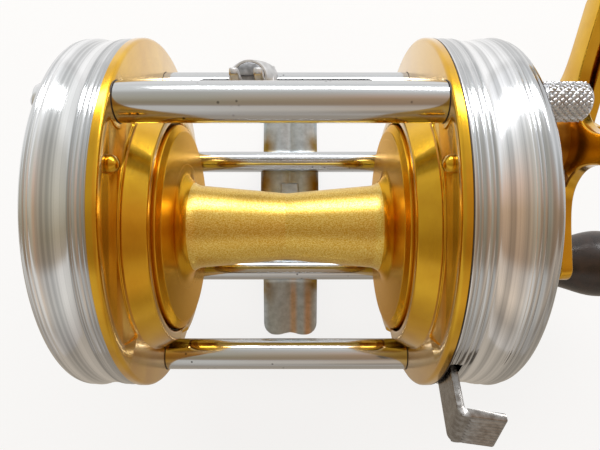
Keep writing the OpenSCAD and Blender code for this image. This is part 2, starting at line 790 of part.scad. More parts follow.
// Angle by which an involute has turned at radius r from its base circle
function involute(r, base) = let (t = sqrt(max(0, pow(r / base, 2) - 1))) t * 180 / PI - atan(t);
// Half the angle of a tooth at radius r
function half_tooth(r, m, z) =
    let (rp = m * z / 2, base = rp * cos(pressure))
    (PI * m / 2 - backlash / 2) / (2 * rp) * 180 / PI + involute(rp, base) - involute(max(r, base), base);
module gear_teeth(m, z, phase, h) {
    rp = m * z / 2;
    root = rp - root_share * m;
    tip = rp + tip_share * m;
    radii = [for (i = [0 : 4]) root + (tip - root) * i / 4];
    linear_extrude(h) polygon([
        for (k = [0 : z - 1]) each concat(
            [for (r = radii) polar([0, 0], r, phase + 360 * k / z - half_tooth(r, m, z))],
            [for (i = [4 : -1 : 0]) polar([0, 0], radii[i], phase + 360 * k / z + half_tooth(radii[i], m, z))]
        )
    ]);
}
// Direction of one axis seen from another
function bearing_of(from, to) = atan2(to[1] - from[1], to[0] - from[0]);
module worm_cog() {
    facing = bearing_of(worm_c, drive_c);
    color(brass) difference() {
        on_x(worm_c, cog_x) gear_teeth(lift_module, cog_teeth, facing, cog_w);
        rod(worm_c, cog_x - 1, cog_x + cog_w + 1, worm_journal_r + push_fit);
    }
}
module levelwind_gear() {
    facing = bearing_of(drive_c, worm_c) + 180 / lift_teeth;
    color(brass) difference() {
        on_x(drive_c, cog_x) gear_teeth(lift_module, lift_teeth, facing, cog_w);
        rod(drive_c, cog_x - 1, cog_x + cog_w + 1, drive_r + push_fit);
    }
}
module drive_gear() {
    facing = bearing_of(drive_c, spool_c) + 180 / drive_teeth;
    color(brass) difference() {
        on_x(drive_c, drive_x) gear_teeth(drive_module, drive_teeth, facing, drive_w);
        rod(drive_c, drive_x - 1, drive_x + drive_w + 1, drive_r + push_fit);
    }
}
ratchet_r = 7.4;
module ratchet_wheel() {
    teeth = 12;
    depth = 1;
    color(steel) difference() {
        on_x(drive_c, ratchet_x) linear_extrude(ratchet_t) polygon([
            for (k = [0 : teeth - 1]) each [
                polar([0, 0], ratchet_r, 360 * k / teeth),
                polar([0, 0], ratchet_r - depth, 360 * k / teeth + 4)
            ]
        ]);
        rod(drive_c, ratchet_x - 1, ratchet_x + 2, drive_r + push_fit);
    }
}

// Drag stack and drive shaft, carried by an inner bush and a long outer bush in a gold boss
washer_r = 8;
module washer(x, r) {
    sleeve(drive_c, x, x + washer_t, r, drive_r + push_fit);
}
module friction_washer() {
    color(fibre) washer(friction_x, washer_r);
}
module pressure_washer() {
    color(steel) washer(pressure_x, washer_r);
}
module spring_washer() {
    color(steel) washer(spring_x, washer_r - 2.4);
}
module drive_inner_bush() {
    color(bronze) sleeve(drive_c, inner_x, inner_x1, drive_bush_r, drive_journal_r + run_fit);
}
module drive_outer_bush() {
    flange_x = spring_x + washer_t + 0.1;
    color(bronze) difference() {
        union() {
            rod(drive_c, flange_x, drive_boss_x, drive_outer_bush_r);
            rod(drive_c, flange_x, right_inner_face_x, drive_outer_bush_r + 0.9);
        }
        rod(drive_c, flange_x - 1, drive_boss_x + 1, drive_r + run_fit);
    }
}
module drive_boss() {
    edge = 0.5;
    color(gold) difference() {
        on_x(drive_c) rotate_extrude() polygon([
            [0, right_face_x], [drive_boss_r, right_face_x], [drive_boss_r, drive_boss_x - edge],
            [drive_boss_r - edge, drive_boss_x], [0, drive_boss_x]
        ]);
        rod(drive_c, right_face_x - 1, drive_boss_x + 1, drive_outer_bush_r + push_fit);
    }
}
nut_h = 2.2;
module drive_shaft() {
    square_end = handle_x + handle_t + 0.1;
    color(steel) {
        rod(drive_c, inner_x + 0.1, cog_x, drive_journal_r);
        rod(drive_c, cog_x - 0.1, drive_boss_x + 0.3, drive_r);
        rod(drive_c, drive_boss_x + 0.2, handle_x - 0.1, star_thread_r);
        on_x(drive_c, handle_x - 0.2) rotate(handle_a) translate([-handle_square / 2, -handle_square / 2, 0])
            cube([handle_square, handle_square, square_end - handle_x + 0.2]);
        rod(drive_c, square_end - 0.1, handle_x + handle_t + nut_h + 0.6, nut_thread_r);
    }
}

// Star wheel of the drag: five arms with hollow curves between them, on a hub that turns on the thread
star_first_a = 32;
star_arms = 5;
module star_drag() {
    tip_w = 4;
    hub_r = 6.6;
    tip_c = star_r - tip_w / 2;
    flare = [
        [0, 4.6], [7.2, 4.6], [8.2, 3.9], [9.4, 3.3], [11, 2.75], [13, 2.35], [15.5, 2.1], [tip_c, tip_w / 2]
    ];
    color(gold) difference() {
        union() {
            rod(drive_c, star_x, star_x + star_t, hub_r);
            rod(drive_c, star_x - star_hub_h, star_x + 0.1, hub_r - 0.6);
            for (k = [0 : star_arms - 1]) on_x(drive_c, star_x) rotate(star_first_a + 360 * k / star_arms) {
                linear_extrude(star_t) polygon(concat(
                    [for (p = flare) [p[0], -p[1]]],
                    [for (i = [len(flare) - 1 : -1 : 0]) flare[i]]
                ));
                translate([tip_c, 0, 0]) cylinder(r = tip_w / 2, h = star_t);
            }
        }
        rod(drive_c, star_x - star_hub_h - 1, star_x + star_t + 1, star_thread_r + run_fit);
    }
}

// Handle: a plate on the square of the shaft, a hexagon nut, and a knob on a pin at each end
knob_ends = [polar(drive_c, handle_reach, handle_a), polar(drive_c, handle_reach, handle_a + 180)];
knob_pin_r = 1.5;
module handle_plate() {
    root_w = 8;
    tip_w = 4.6;
    end_r = 3.4;
    hub_r = 5.6;
    fit_square = handle_square + 2 * push_fit;
    color(gold) on_x(drive_c, handle_x) rotate(handle_a) linear_extrude(handle_t) difference() {
        union() {
            circle(r = hub_r);
            polygon([
                [0, -root_w / 2], [handle_reach, -tip_w / 2], [handle_reach, tip_w / 2],
                [0, root_w / 2], [-handle_reach, tip_w / 2], [-handle_reach, -tip_w / 2]
            ]);
            for (side = [-1, 1]) translate([side * handle_reach, 0]) circle(r = end_r);
        }
        square(fit_square, center = true);
        for (side = [-1, 1]) translate([side * handle_reach, 0]) circle(r = knob_pin_r + push_fit);
    }
}
module handle_nut() {
    nut_r = 4.2;
    color(gold) difference() {
        on_x(drive_c, handle_x + handle_t + 0.15) cylinder(r = nut_r, h = nut_h, $fn = 6);
        rod(drive_c, handle_x, handle_x + handle_t + nut_h + 2, nut_thread_r + push_fit);
    }
}
knob_x = handle_x + handle_t + 0.9;
module knob_pins() {
    head_r = 2.6;
    color(steel) for (c = knob_ends) {
        rod(c, handle_x - 0.3, handle_x, head_r);
        rod(c, handle_x - 0.3, knob_x + knob_l - 1.4, knob_pin_r);
        rod(c, handle_x + handle_t, knob_x - 0.3, head_r);
    }
}
module handle_knob(c) {
    neck = knob_d * 0.33;
    top = knob_d / 2;
    color(dark) on_x(c, knob_x) difference() {
        rotate_extrude() polygon(concat(
            [[0, 0], [neck, 0]],
            [for (i = [0 : 10]) [neck + (top - neck) * (1 - cos(18 * i)) / 2, 0.8 + (knob_l * 0.6) * i / 10]],
            [for (i = [1 : 8]) [top * cos(83 * i / 8),
                knob_l * 0.6 + 0.8 + (knob_l * 0.4 - 0.8) * sin(90 * i / 8)]],
            [[0, knob_l]]
        ));
        translate([0, 0, -1]) cylinder(r = knob_pin_r + run_fit, h = knob_l);
    }
}
module front_handle_knob() {
    handle_knob(knob_ends[0]);
}
module rear_handle_knob() {
    handle_knob(knob_ends[1]);
}

// Clutch: the lever turns a cam that lifts the yoke, and the yoke draws the pinion off the cross pin
lever_slant = 15.6;
cam_x1 = inner_x + 0.4;
yoke_x = inner_x1 + 1.3;
yoke_t = 0.6;
cam_mid_r = (cam_r + cam_bore_r) / 2;
cam_run = cam_mid_r * lever_turn * PI / 180;
cam_angles = [130, 230];
// Distance of the slanted end line of the lever at a place across its width
function lever_end(y) = lever_reach + y * tan(lever_slant);
module lever_strip(from, to, y0, y1) {
    polygon([
        [lever_end(y0) + from, y0], [lever_end(y0) + to, y0],
        [lever_end(y1) + to, y1], [lever_end(y1) + from, y1]
    ]);
}
module clutch_lever() {
    ring_r = 8;
    ribs = 9;
    rib_h = 0.25;
    rib_side = 0.2;
    rib_end = 0.5;
    half = lever_w / 2;
    rib_pitch = (lever_w - 2 * rib_side) / ribs;
    color(chrome) difference() {
        union() {
            rod(spool_c, lever_x, lever_x + lever_t, ring_r);
            on_x(spool_c, lever_x) rotate(lever_a) {
                linear_extrude(lever_t) polygon([
                    [cam_r, -half], [lever_end(-half), -half], [lever_end(half), half], [cam_r, half]
                ]);
                linear_extrude(tab_l) lever_strip(-lever_t, 0, -half, half);
                for (i = [0 : ribs - 1]) translate([0, 0, lever_t + rib_end])
                    linear_extrude(tab_l - lever_t - 2 * rib_end) lever_strip(
                        -lever_t / 2, rib_h,
                        rib_side - half + rib_pitch * i, rib_side - half + rib_pitch * (i + 0.6)
                    );
            }
        }
        rod(spool_c, lever_x - 1, lever_x + lever_t + 1, cam_bore_r);
    }
}
module clutch_cam() {
    start = 0.4;
    ramp_l = cam_run + 0.4;
    ramp_h = ramp_l * yoke_lift / cam_run;
    color(steel) {
        sleeve(spool_c, lever_x + lever_t, cam_x1, cam_r, cam_bore_r);
        intersection() {
            sleeve(spool_c, cam_x1 - 0.05, cam_x1 + ramp_h, cam_r, cam_bore_r);
            for (a = cam_angles) on_x(spool_c, cam_x1 - 0.05) rotate(a) translate([0, -start, 0])
                rotate([90, 0, 90]) linear_extrude(2 * cam_r)
                    polygon([[0, 0], [-ramp_l, 0], [-ramp_l, ramp_h]]);
        }
    }
}
pinion_groove_r = 1.65;
yoke_front = 0.6;
module yoke() {
    slot = pinion_groove_r + 0.1;
    height = 2 * (yoke_posts_at[0][1] + yoke_post_r + 0.9);
    follower_r = 0.25;
    color(brass) {
        difference() {
            translate([yoke_x, spool_c[0] - 5.5, spool_c[1] - height / 2])
                cube([yoke_t, 5.5 + yoke_front, height]);
            rod(spool_c, yoke_x - 1, yoke_x + 2, slot);
            translate([yoke_x - 1, spool_c[0], spool_c[1] - slot]) cube([yoke_t + 2, 5, 2 * slot]);
            for (p = yoke_posts_at) rod(spool_c + p, yoke_x - 1, yoke_x + 2, yoke_post_r + run_fit);
        }
        for (a = cam_angles) rod(polar(spool_c, cam_mid_r, a), cam_x1 + 0.2, yoke_x + 0.05, follower_r);
    }
}
post_top = right_inner_face_x - 0.5;
module yoke_posts() {
    color(steel) for (p = yoke_posts_at) {
        rod(spool_c + p, inner_x, post_top, yoke_post_r);
        rod(spool_c + p, post_top - 0.6, post_top, yoke_post_r + 0.8);
    }
}
module yoke_springs() {
    color(steel) for (p = yoke_posts_at)
        sleeve(spool_c + p, yoke_x + yoke_t + yoke_lift + 0.3, post_top - 0.6,
            yoke_post_r + 0.7, yoke_post_r + push_fit);
}
module pinion() {
    facing = bearing_of(spool_c, drive_c);
    foot_x = inner_x - 0.1;
    groove_x = yoke_x - 0.1;
    teeth_x = yoke_x + yoke_t + 0.1;
    end_x = drive_x + drive_w + 0.3;
    color(brass) difference() {
        union() {
            rod(spool_c, foot_x, groove_x, 2.4);
            rod(spool_c, groove_x - 0.1, teeth_x + 0.1, pinion_groove_r);
            on_x(spool_c, teeth_x) gear_teeth(drive_module, pinion_teeth, facing, end_x - teeth_x);
        }
        rod(spool_c, foot_x - 1, end_x + 1, shaft_r + run_fit);
        translate([foot_x - 1, spool_c[0] - 5, spool_c[1] - pin_r - 0.1])
            cube([pin_x + pin_r + 0.1 - foot_x + 1, 10, 2 * pin_r + 0.2]);
    }
}

// Anti-reverse pawl on its post, beside the ratchet wheel and clear of the level-wind gear
pawl_pivot_r = 1;
pawl_collar = 0.6;
lift_tip_r = lift_module * (lift_teeth / 2 + tip_share);
pawl_pivot = polar(drive_c, max(ratchet_r + 1, lift_tip_r + 0.3) + pawl_pivot_r + pawl_collar, -100);
module anti_reverse_pawl() {
    arm_w = 1.4;
    tip = polar(drive_c, ratchet_r + 0.35 + arm_w / 2, -75);
    reach_a = bearing_of(pawl_pivot, tip);
    color(steel) difference() {
        union() {
            rod(pawl_pivot, ratchet_x, ratchet_x + ratchet_t, pawl_pivot_r + 0.8);
            on_x(pawl_pivot, ratchet_x) rotate(reach_a) translate([0, -arm_w / 2, 0])
                cube([norm(tip - pawl_pivot), arm_w, ratchet_t]);
            rod(tip, ratchet_x, ratchet_x + ratchet_t, arm_w / 2);
        }
        rod(pawl_pivot, ratchet_x - 1, ratchet_x + 2, pawl_pivot_r + run_fit);
    }
}
module pawl_post() {
    color(steel) {
        rod(pawl_pivot, inner_x, ratchet_x + ratchet_t + 0.05, pawl_pivot_r);
        rod(pawl_pivot, inner_x1, ratchet_x - 0.1, pawl_pivot_r + pawl_collar);
    }
}

// Spool tension cap on the neck of the right cover, with a shim against the end of the shaft
cap_outer_r = 6.2;
tension_x = right_face_x + 0.4;
tension_end = neck_x + 1.6;
module tension_cap() {
    grips = 30;
    depth = 0.15;
    color(chrome) difference() {
        union() {
            on_x(spool_c, tension_x) linear_extrude(tension_end - tension_x - 0.6) polygon([
                for (i = [0 : 2 * grips - 1]) polar([0, 0], cap_outer_r - (i % 2) * depth, 180 * i / grips)
            ]);
            rod(spool_c, tension_x + 0.4, tension_end, cap_outer_r - 0.7);
        }
        rod(spool_c, tension_x - 1, neck_x + 0.3, neck_r + run_fit);
    }
}
module tension_shim() {
    color(brass) rod(spool_c, shaft_right_x + 0.05, neck_x, spool_bush_r - 0.3);
}

left_frame_plate();
right_frame_plate();
front_crossbar();
rear_crossbar();
front_foot_pillar();
rear_foot_pillar();
reel_foot();
foot_screws();
plate_studs();
left_inner_plate();
right_inner_plate();
left_side_cover();
right_side_cover();
left_cover_screws();
takedown_thumb_screws();
left_spool_bush();
right_spool_bush();
brake_ring();
spool();
spool_shaft();
spool_cross_pin();
brake_disc();
brake_block_upper();
brake_block_lower();
levelwind_tube();
worm_bushes();
worm();
worm_cog();
worm_clip();
line_guide_carriage();
line_guide_prongs();
guide_pawl();
pawl_cap();
drive_boss();
drive_inner_bush();
drive_outer_bush();
drive_shaft();
levelwind_gear();
ratchet_wheel();
drive_gear();
friction_washer();
pressure_washer();
spring_washer();
star_drag();
handle_plate();
handle_nut();
knob_pins();
front_handle_knob();
rear_handle_knob();
clutch_lever();
clutch_cam();
yoke();
yoke_posts();
yoke_springs();
pinion();
anti_reverse_pawl();
pawl_post();
tension_cap();
tension_shim();
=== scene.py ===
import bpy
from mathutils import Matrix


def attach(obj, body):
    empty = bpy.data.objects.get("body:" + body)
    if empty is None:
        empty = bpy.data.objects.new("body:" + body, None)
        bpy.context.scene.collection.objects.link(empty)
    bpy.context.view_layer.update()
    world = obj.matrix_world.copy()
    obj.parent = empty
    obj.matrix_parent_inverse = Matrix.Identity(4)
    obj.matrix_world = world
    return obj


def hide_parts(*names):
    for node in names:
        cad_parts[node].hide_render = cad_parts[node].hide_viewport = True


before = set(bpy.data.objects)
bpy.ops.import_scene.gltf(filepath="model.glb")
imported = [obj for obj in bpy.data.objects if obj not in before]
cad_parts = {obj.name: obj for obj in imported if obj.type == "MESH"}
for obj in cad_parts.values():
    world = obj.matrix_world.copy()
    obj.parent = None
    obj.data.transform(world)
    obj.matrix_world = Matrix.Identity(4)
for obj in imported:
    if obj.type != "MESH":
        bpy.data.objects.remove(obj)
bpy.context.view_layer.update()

import math

import bmesh
import bpy
from mathutils import Vector
from mathutils.geometry import tessellate_polygon

# The studio: a white table top, soft walls of cool and warm greys, and a camera straight above the spool.
# One wide window lamp stands in front of the reel. Sizes are in millimetres and the scene is in metres.
mm = 0.001
spool_axis = (-2.24, 31.5)
plate_axis = (0.0, 31.5)
camera_at = (2.24, spool_axis[0] + 0.25, spool_axis[1] + 77.4)
floor_half = 1600
window_at = (60, 330, 190)
window_aim = (0, 0, 30)
window_w, window_h = 520, 80
window_power = 1.35


def linear(code):
    # An sRGB hex colour as linear values with full alpha
    values = [int(code[i:i + 2], 16) / 255 for i in (1, 3, 5)]
    return [v / 12.92 if v <= 0.04045 else ((v + 0.055) / 1.055) ** 2.4 for v in values] + [1.0]


def add(tree, kind, inputs=(), to=None, stops=(), **settings):
    # Adds a node: settings, colour ramp stops, inputs in order or by name, and a link onwards.
    # An input is a value, a socket, or a node, which gives its first live output.
    made = tree.nodes.new("ShaderNode" + kind)
    for key, value in settings.items():
        setattr(made, key, value)
    for i, (at, code) in enumerate(stops):
        made.color_ramp.elements[i].position = at
        made.color_ramp.elements[i].color = linear(code)
    for socket, value in inputs.items() if isinstance(inputs, dict) else enumerate(inputs):
        if isinstance(value, bpy.types.Node):
            value = next(out for out in value.outputs if out.enabled)
        if isinstance(value, bpy.types.NodeSocket):
            tree.links.new(value, made.inputs[socket])
        else:
            made.inputs[socket].default_value = value
    if to is not None:
        tree.links.new(next(out for out in made.outputs if out.enabled), to)
    return made


scene = bpy.context.scene
scene.view_settings.view_transform = "Standard"
lens = bpy.data.cameras.new("camera")
lens.lens = 28
lens.sensor_width = 36
lens.clip_start = 2 * mm
camera = bpy.data.objects.new("camera", lens)
camera.location = Vector(camera_at) * mm
scene.collection.objects.link(camera)
scene.camera = camera

corners = [(x * floor_half * mm, y * floor_half * mm, 0) for x, y in ((-1, -1), (1, -1), (1, 1), (-1, 1))]
floor_mesh = bpy.data.meshes.new("table_top")
floor_mesh.from_pydata(corners, [], [(0, 1, 2, 3)])
table_top = bpy.data.objects.new("table_top", floor_mesh)
scene.collection.objects.link(table_top)
# White laminate, white to the eye; what polished metal mirrors of it is a painted reflection, grey-brown
# behind the reel and white before it
laminate = bpy.data.materials.new("white_laminate_table")
laminate.use_nodes = True
tree = laminate.node_tree
tree.nodes.clear()
matt = add(tree, "BsdfDiffuse", {"Color": linear("#F4F3F1")})
ray = add(tree, "LightPath").outputs
spot = add(tree, "SeparateXYZ", (add(tree, "TexCoord").outputs["Object"],)).outputs
front = add(tree, "MapRange", (spot["Y"], -30 * mm, 30 * mm, 0.0, 1.0))
# Painted reflection: the floor's glow as metal mirrors it, grey-brown behind the reel and white in front
painted_floor_reflection = add(tree, "Mix", {0: front, 6: linear("#AFA495"), 7: linear("#FFFFFF")}, data_type="RGBA")
sheen = add(tree, "Mix", {0: ray["Is Camera Ray"], 6: painted_floor_reflection, 7: linear("#FFFFFF")}, data_type="RGBA")
glow = add(tree, "Emission", {"Color": sheen, "Strength": 1.0})
seen = add(tree, "Math", (ray["Is Camera Ray"], ray["Is Glossy Ray"]), operation="MAXIMUM")
share = add(tree, "Math", (seen, 0.8), operation="MULTIPLY")
add(tree, "OutputMaterial", {"Surface": add(tree, "MixShader", (share, matt, glow))})
floor_mesh.materials.append(laminate)

# The walls by their tilt round the X axis in degrees: 0 is overhead, 90 the white front, -90 the rear.
# The reel's left side sees the cooler greys and its right side the warmer ones.
left_side = ((-180, "#B8B0A6"), (-90, "#B8B0A8"), (-60, "#DEDAD2"), (-38, "#DCD8D2"), (-31, "#A89A88"),
             (-15, "#A4977F"), (10, "#C0B9A8"), (40, "#CCC9C1"), (58, "#F4F4F1"), (140, "#FFFFFF"))
right_side = ((-180, "#B8B0A6"), (-90, "#CEC6BD"), (-72, "#AA9E90"), (-55, "#DCCAB6"), (-37, "#C8B8A8"),
              (-29, "#A88D74"), (0, "#BA9C7E"), (16, "#D5BAA6"), (40, "#DFDEDA"), (58, "#FFFFFF"),
              (140, "#FFFFFF"))
studio = bpy.data.worlds.new("soft_studio")
studio.use_nodes = True
scene.world = studio
tree = studio.node_tree
tree.nodes.clear()
outward = add(tree, "SeparateXYZ", (add(tree, "TexCoord").outputs["Generated"],)).outputs
tilt = add(tree, "Math", (outward["Y"], outward["Z"]), operation="ARCTAN2")
turn = add(tree, "MapRange", (tilt, -math.pi, math.pi, 0.0, 1.0))
walls = []
for side in (left_side, right_side):
    below = side[0][1]
    wall = add(tree, "ValToRGB", (turn,), stops=((0, below), (1, below)))
    for at, code in side[1:]:
        wall.color_ramp.elements.new((at + 180) / 360).color = linear(code)
    walls.append(wall)
share = add(tree, "MapRange", (outward["X"], -0.3, 0.3, 0.0, 1.0))
both_walls = add(tree, "Mix", {0: share, 6: walls[0], 7: walls[1]}, data_type="RGBA")
air = add(tree, "Background", {"Color": both_walls, "Strength": 1.0})
plain = add(tree, "Background", {"Color": linear("#FCFCFC"), "Strength": 1.0})
seen = add(tree, "LightPath").outputs["Is Camera Ray"]
add(tree, "OutputWorld", {"Surface": add(tree, "MixShader", (seen, air, plain))})

window = bpy.data.lights.new("front_window", "AREA")
window.shape = "RECTANGLE"
window.size, window.size_y = window_w * mm, window_h * mm
window.energy = window_power
lamp = bpy.data.objects.new("front_window", window)
lamp.location = Vector(window_at) * mm
lamp.rotation_euler = (Vector(window_aim) - Vector(window_at)).to_track_quat("-Z", "Y").to_euler()
scene.collection.objects.link(lamp)


# Frame plates: two round plates cut from gold anodised aluminium and polished, held apart by the bars.
# A raised boss, slightly coned, rings the spool throat, and an arc pocket is milled into each inner face:
# it runs in behind the front bar and has a straight rear end.
plate_r = 27.0
plate_in = 19.85
plate_out = 21.1
plate_steps = 480
boss_face = 17.1
throat_r = 16.85
boss_r = 19.6
boss_slope_w = 1.15
boss_foot = 0.05
boss_land = 0.3
lip_round = 0.45
rim_w = 1.7
rim_round = 0.5
edge_break = 0.1
notch_r = 3.4
bar_pad_r = 3.3
pocket_from = 47.0
pocket_rear = 15.0
pocket_depth = 0.3
pocket_edge = 0.09
pocket_in_r = 20.3
pocket_turns = 400
pocket_step = 0.15
pocket_smooth = 3


def cosd(degrees):
    return math.cos(math.radians(degrees))


def sind(degrees):
    return math.sin(math.radians(degrees))


def polar(centre, radius, degrees):
    return (centre[0] + radius * cosd(degrees), centre[1] + radius * sind(degrees))


def arc_points(centre, radius, start, end, steps):
    return [polar(centre, radius, start + (end - start) * i / steps) for i in range(steps + 1)]


def on_plate(inset, degrees):
    return polar(plate_axis, plate_r - inset, degrees)


front_bar = on_plate(2.72, 57.6)
rear_bar = polar(plate_axis, 23.67, 182.9)


def surface(name, colour, roughness, constants=None):
    # A material by its mean colour and roughness, which its patterns vary, and the numbers that hold all over
    made = bpy.data.materials.new(name)
    made.use_nodes = True
    tree = made.node_tree
    look = tree.nodes["Principled BSDF"].inputs
    look["Base Color"].default_value = linear(colour)
    look["Roughness"].default_value = roughness
    for socket, value in {"Metallic": 1.0, **(constants or {})}.items():
        look[socket].default_value = value
    return made, tree, look, add(tree, "TexCoord").outputs["Object"]


def from_axis(tree, place, axis):
    # Turns a place on the piece into its position along the axis and its distance from it, in millimetres
    shifted = add(tree, "VectorMath", (place, (0, axis[0] * mm, axis[1] * mm)), operation="SUBTRACT")
    split = add(tree, "SeparateXYZ", (shifted,)).outputs
    flat = add(tree, "CombineXYZ", {"Y": split["Y"], "Z": split["Z"]})
    radius = add(tree, "VectorMath", (flat,), operation="LENGTH")
    both = add(tree, "CombineXYZ", (split["X"], radius))
    return add(tree, "VectorMath", (both, (1000, 1000, 1000)), operation="MULTIPLY")


def tidy_shading(mesh, sharp):
    for face in mesh.polygons:
        face.use_smooth = True
    mesh.set_sharp_from_angle(angle=math.radians(sharp))


def finished(name, shape, sharp):
    mesh = bpy.data.meshes.new(name)
    shape.to_mesh(mesh)
    shape.free()
    tidy_shading(mesh, sharp)
    return bpy.data.objects.new(name, mesh)


def build(name, points, faces, sharp=32):
    raw = bpy.data.meshes.new("raw")
    raw.from_pydata([Vector(p) * mm for p in points], [], faces)
    shape = bmesh.new()
    shape.from_mesh(raw)
    bpy.data.meshes.remove(raw)
    bmesh.ops.remove_doubles(shape, verts=shape.verts, dist=1e-7)
    bmesh.ops.delete(shape, geom=[edge for edge in shape.edges if not edge.link_faces], context="EDGES")
    bmesh.ops.recalc_face_normals(shape, faces=shape.faces)
    return finished(name, shape, sharp)


def grid_faces(rows, columns, wrap_rows=False, wrap_columns=False):
    faces = []
    for i in range(rows if wrap_rows else rows - 1):
        for j in range(columns if wrap_columns else columns - 1):
            k = (i + 1) % rows
            n = (j + 1) % columns
            faces.append((i * columns + j, i * columns + n, k * columns + n, k * columns + j))
    return faces


def cut(obj, tool, sharp=32):
    # Takes one mesh out of another and keeps the result
    for o in (obj, tool):
        if o.name not in scene.collection.objects:
            scene.collection.objects.link(o)
    change = obj.modifiers.new("cut", "BOOLEAN")
    change.operation = "DIFFERENCE"
    change.solver = "EXACT"
    change.object = tool
    bpy.context.view_layer.update()
    done = bpy.data.meshes.new_from_object(obj.evaluated_get(bpy.context.evaluated_depsgraph_get()))
    obj.modifiers.remove(change)
    obj.data = done
    bpy.data.objects.remove(tool)
    tidy_shading(done, sharp)


def piece(obj, body, slot, material, *nodes):
    if obj.name not in scene.collection.objects:
        scene.collection.objects.link(obj)
    if material is not None:
        obj.data.materials.append(material)
    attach(obj, body)
    if nodes:
        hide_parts(*nodes)


def ray_circle(degrees, centre, radius, far):
    # Distance from the spool axis along an angle to a circle, the far or the near crossing
    c = Vector(centre) - Vector(spool_axis)
    along = c.dot(Vector((cosd(degrees), sind(degrees))))
    inside = radius * radius - c.length_squared + along * along
    if inside < 0 or along + math.sqrt(inside) < 0:
        return None
    return along + math.sqrt(inside) if far else along - math.sqrt(inside)


def plate_section(degrees):
    # The plate cut from the throat to the rim, as (distance from the spool axis, position along it)
    outer = ray_circle(degrees, plate_axis, plate_r, True)
    inside_rim = ray_circle(degrees, plate_axis, plate_r - rim_round, True)
    notch = ray_circle(degrees, rear_bar, notch_r, False)
    wall = boss_r if notch is None else min(boss_r, notch)
    top = max(throat_r + boss_land, wall - boss_slope_w)
    slant = math.atan2(wall + boss_foot - top, plate_in - boss_face)
    lip = min(lip_round, (top - throat_r) * 0.45)
    points = [(throat_r, plate_out)]
    points += arc_points((throat_r + lip, boss_face + lip), lip, 180, 270, 4)
    points += arc_points((top - lip, boss_face + lip), lip, 270, 360 - math.degrees(slant), 5)
    points.append((wall + boss_foot, plate_in))
    points += [(inside_rim + (outer - inside_rim) * sind(a), plate_in + rim_round * (1 - cosd(a)))
               for a in (0, 22, 45, 68, 90)]
    return points + [(outer, plate_out - edge_break), (outer - edge_break, plate_out)]


def pocket_outline():
    # Between boss and rim, clear of the front bar, with a straight rear end; evenly spaced, corners rounded
    last = math.degrees(math.acos(-pocket_rear / pocket_in_r))
    turns = [pocket_from + (last - pocket_from) * i / pocket_turns for i in range(pocket_turns + 1)]
    outer = []
    for degrees in turns:
        limits = [ray_circle(degrees, plate_axis, plate_r - rim_w, True),
                  ray_circle(degrees, front_bar, bar_pad_r, False)]
        if degrees > 90:
            limits.append(-pocket_rear / cosd(degrees))
        outer.append(min(r for r in limits if r is not None))
    sides = [(pocket_in_r, a) for a in turns] + list(zip(outer, turns))[::-1]
    path = [Vector(polar((0, 0), r, a)) for r, a in sides]
    even = []
    left_over = 0.0
    for a, b in zip(path, path[1:] + path[:1]):
        length = (b - a).length
        at = left_over
        while at < length:
            even.append(a.lerp(b, at / length))
            at += pocket_step
        left_over = at - length
    count = len(even)
    near = range(-pocket_smooth, pocket_smooth + 1)
    for _ in range(2):
        even = [sum((even[(i + k) % count] for k in near), Vector((0.0, 0.0))) / len(near)
                for i in range(count)]
    return even


def pocket_tool(way):
    outline = pocket_outline()
    count = len(outline)
    aside = []
    for i in range(count):
        along = (outline[(i + 1) % count] - outline[i - 1]).normalized()
        aside.append(Vector((along.y, -along.x)))
    floor_x = plate_in + pocket_depth
    # Position along the axis and how far the wall stands outside the outline there
    levels = ((floor_x, -0.1), (floor_x - 0.03, -0.04), (floor_x - 0.09, 0.0), (plate_in + 0.09, 0.0),
              (plate_in + 0.03, 0.03), (plate_in, pocket_edge), (plate_in - 0.3, pocket_edge))
    points = []
    for x, grow in levels:
        points += [(way * x, spool_axis[0] + q.x - n.x * grow, spool_axis[1] + q.y - n.y * grow)
                   for q, n in zip(outline, aside)]
    cap = tessellate_polygon([[Vector((q.x, q.y, 0.0)) for q in outline]])
    top = (len(levels) - 1) * count
    faces = grid_faces(len(levels), count, False, True) + [tuple(f) for f in cap]
    return build("pocket", points, faces + [tuple(top + k for k in f) for f in cap])


def spun(axis, angle, section):
    # A section of (position along X, radius) turned to an angle about an axis parallel to X
    c, s = math.cos(angle), math.sin(angle)
    return [(x, axis[0] + r * c, axis[1] + r * s) for x, r in section]


def frame_plate(name, way):
    points = []
    for i in range(plate_steps):
        degrees = 360 * i / plate_steps
        section = [(way * x, r) for r, x in plate_section(degrees)]
        points += spun(spool_axis, math.radians(degrees), section)
    plate = build(name, points, grid_faces(plate_steps, len(section), True, True))
    cut(plate, pocket_tool(way), 28)
    return plate


# Gold anodised aluminium, polished: a warm yellow mirror under its clear film, with faint rings and wear.
# A pattern's scale is 1000 over its size in millimetres, or 1 over it where from_axis has made millimetres.
gold_polished, tree, look, place = surface("gold_anodised_aluminium_polished", "#E3AE2E", 0.13, {
    "Coat Weight": 1.0, "Coat Roughness": 0.15, "Coat IOR": 1.35})
turning = from_axis(tree, place, plate_axis)
rings = add(tree, "TexNoise", {"Vector": turning, "Scale": 1 / 0.25, "Detail": 3.0})
wear = add(tree, "TexNoise", {"Vector": place, "Scale": 1000 / 4.5455, "Detail": 4.0})
add(tree, "ValToRGB", (wear,), look["Base Color"], ((0.3, "#D39D0E"), (0.7, "#E4B220")))
add(tree, "MapRange", (rings, 0.3, 0.7, 0.17, 0.25), look["Roughness"])
add(tree, "Bump", {"Height": rings, "Strength": 0.04, "Distance": 0.1 * mm}, look["Normal"])

piece(frame_plate("gold_plate_left", -1), "frame", "gold_anodised", gold_polished, "left_frame_plate")
piece(frame_plate("gold_plate_right", 1), "frame", "gold_anodised", gold_polished, "right_frame_plate")


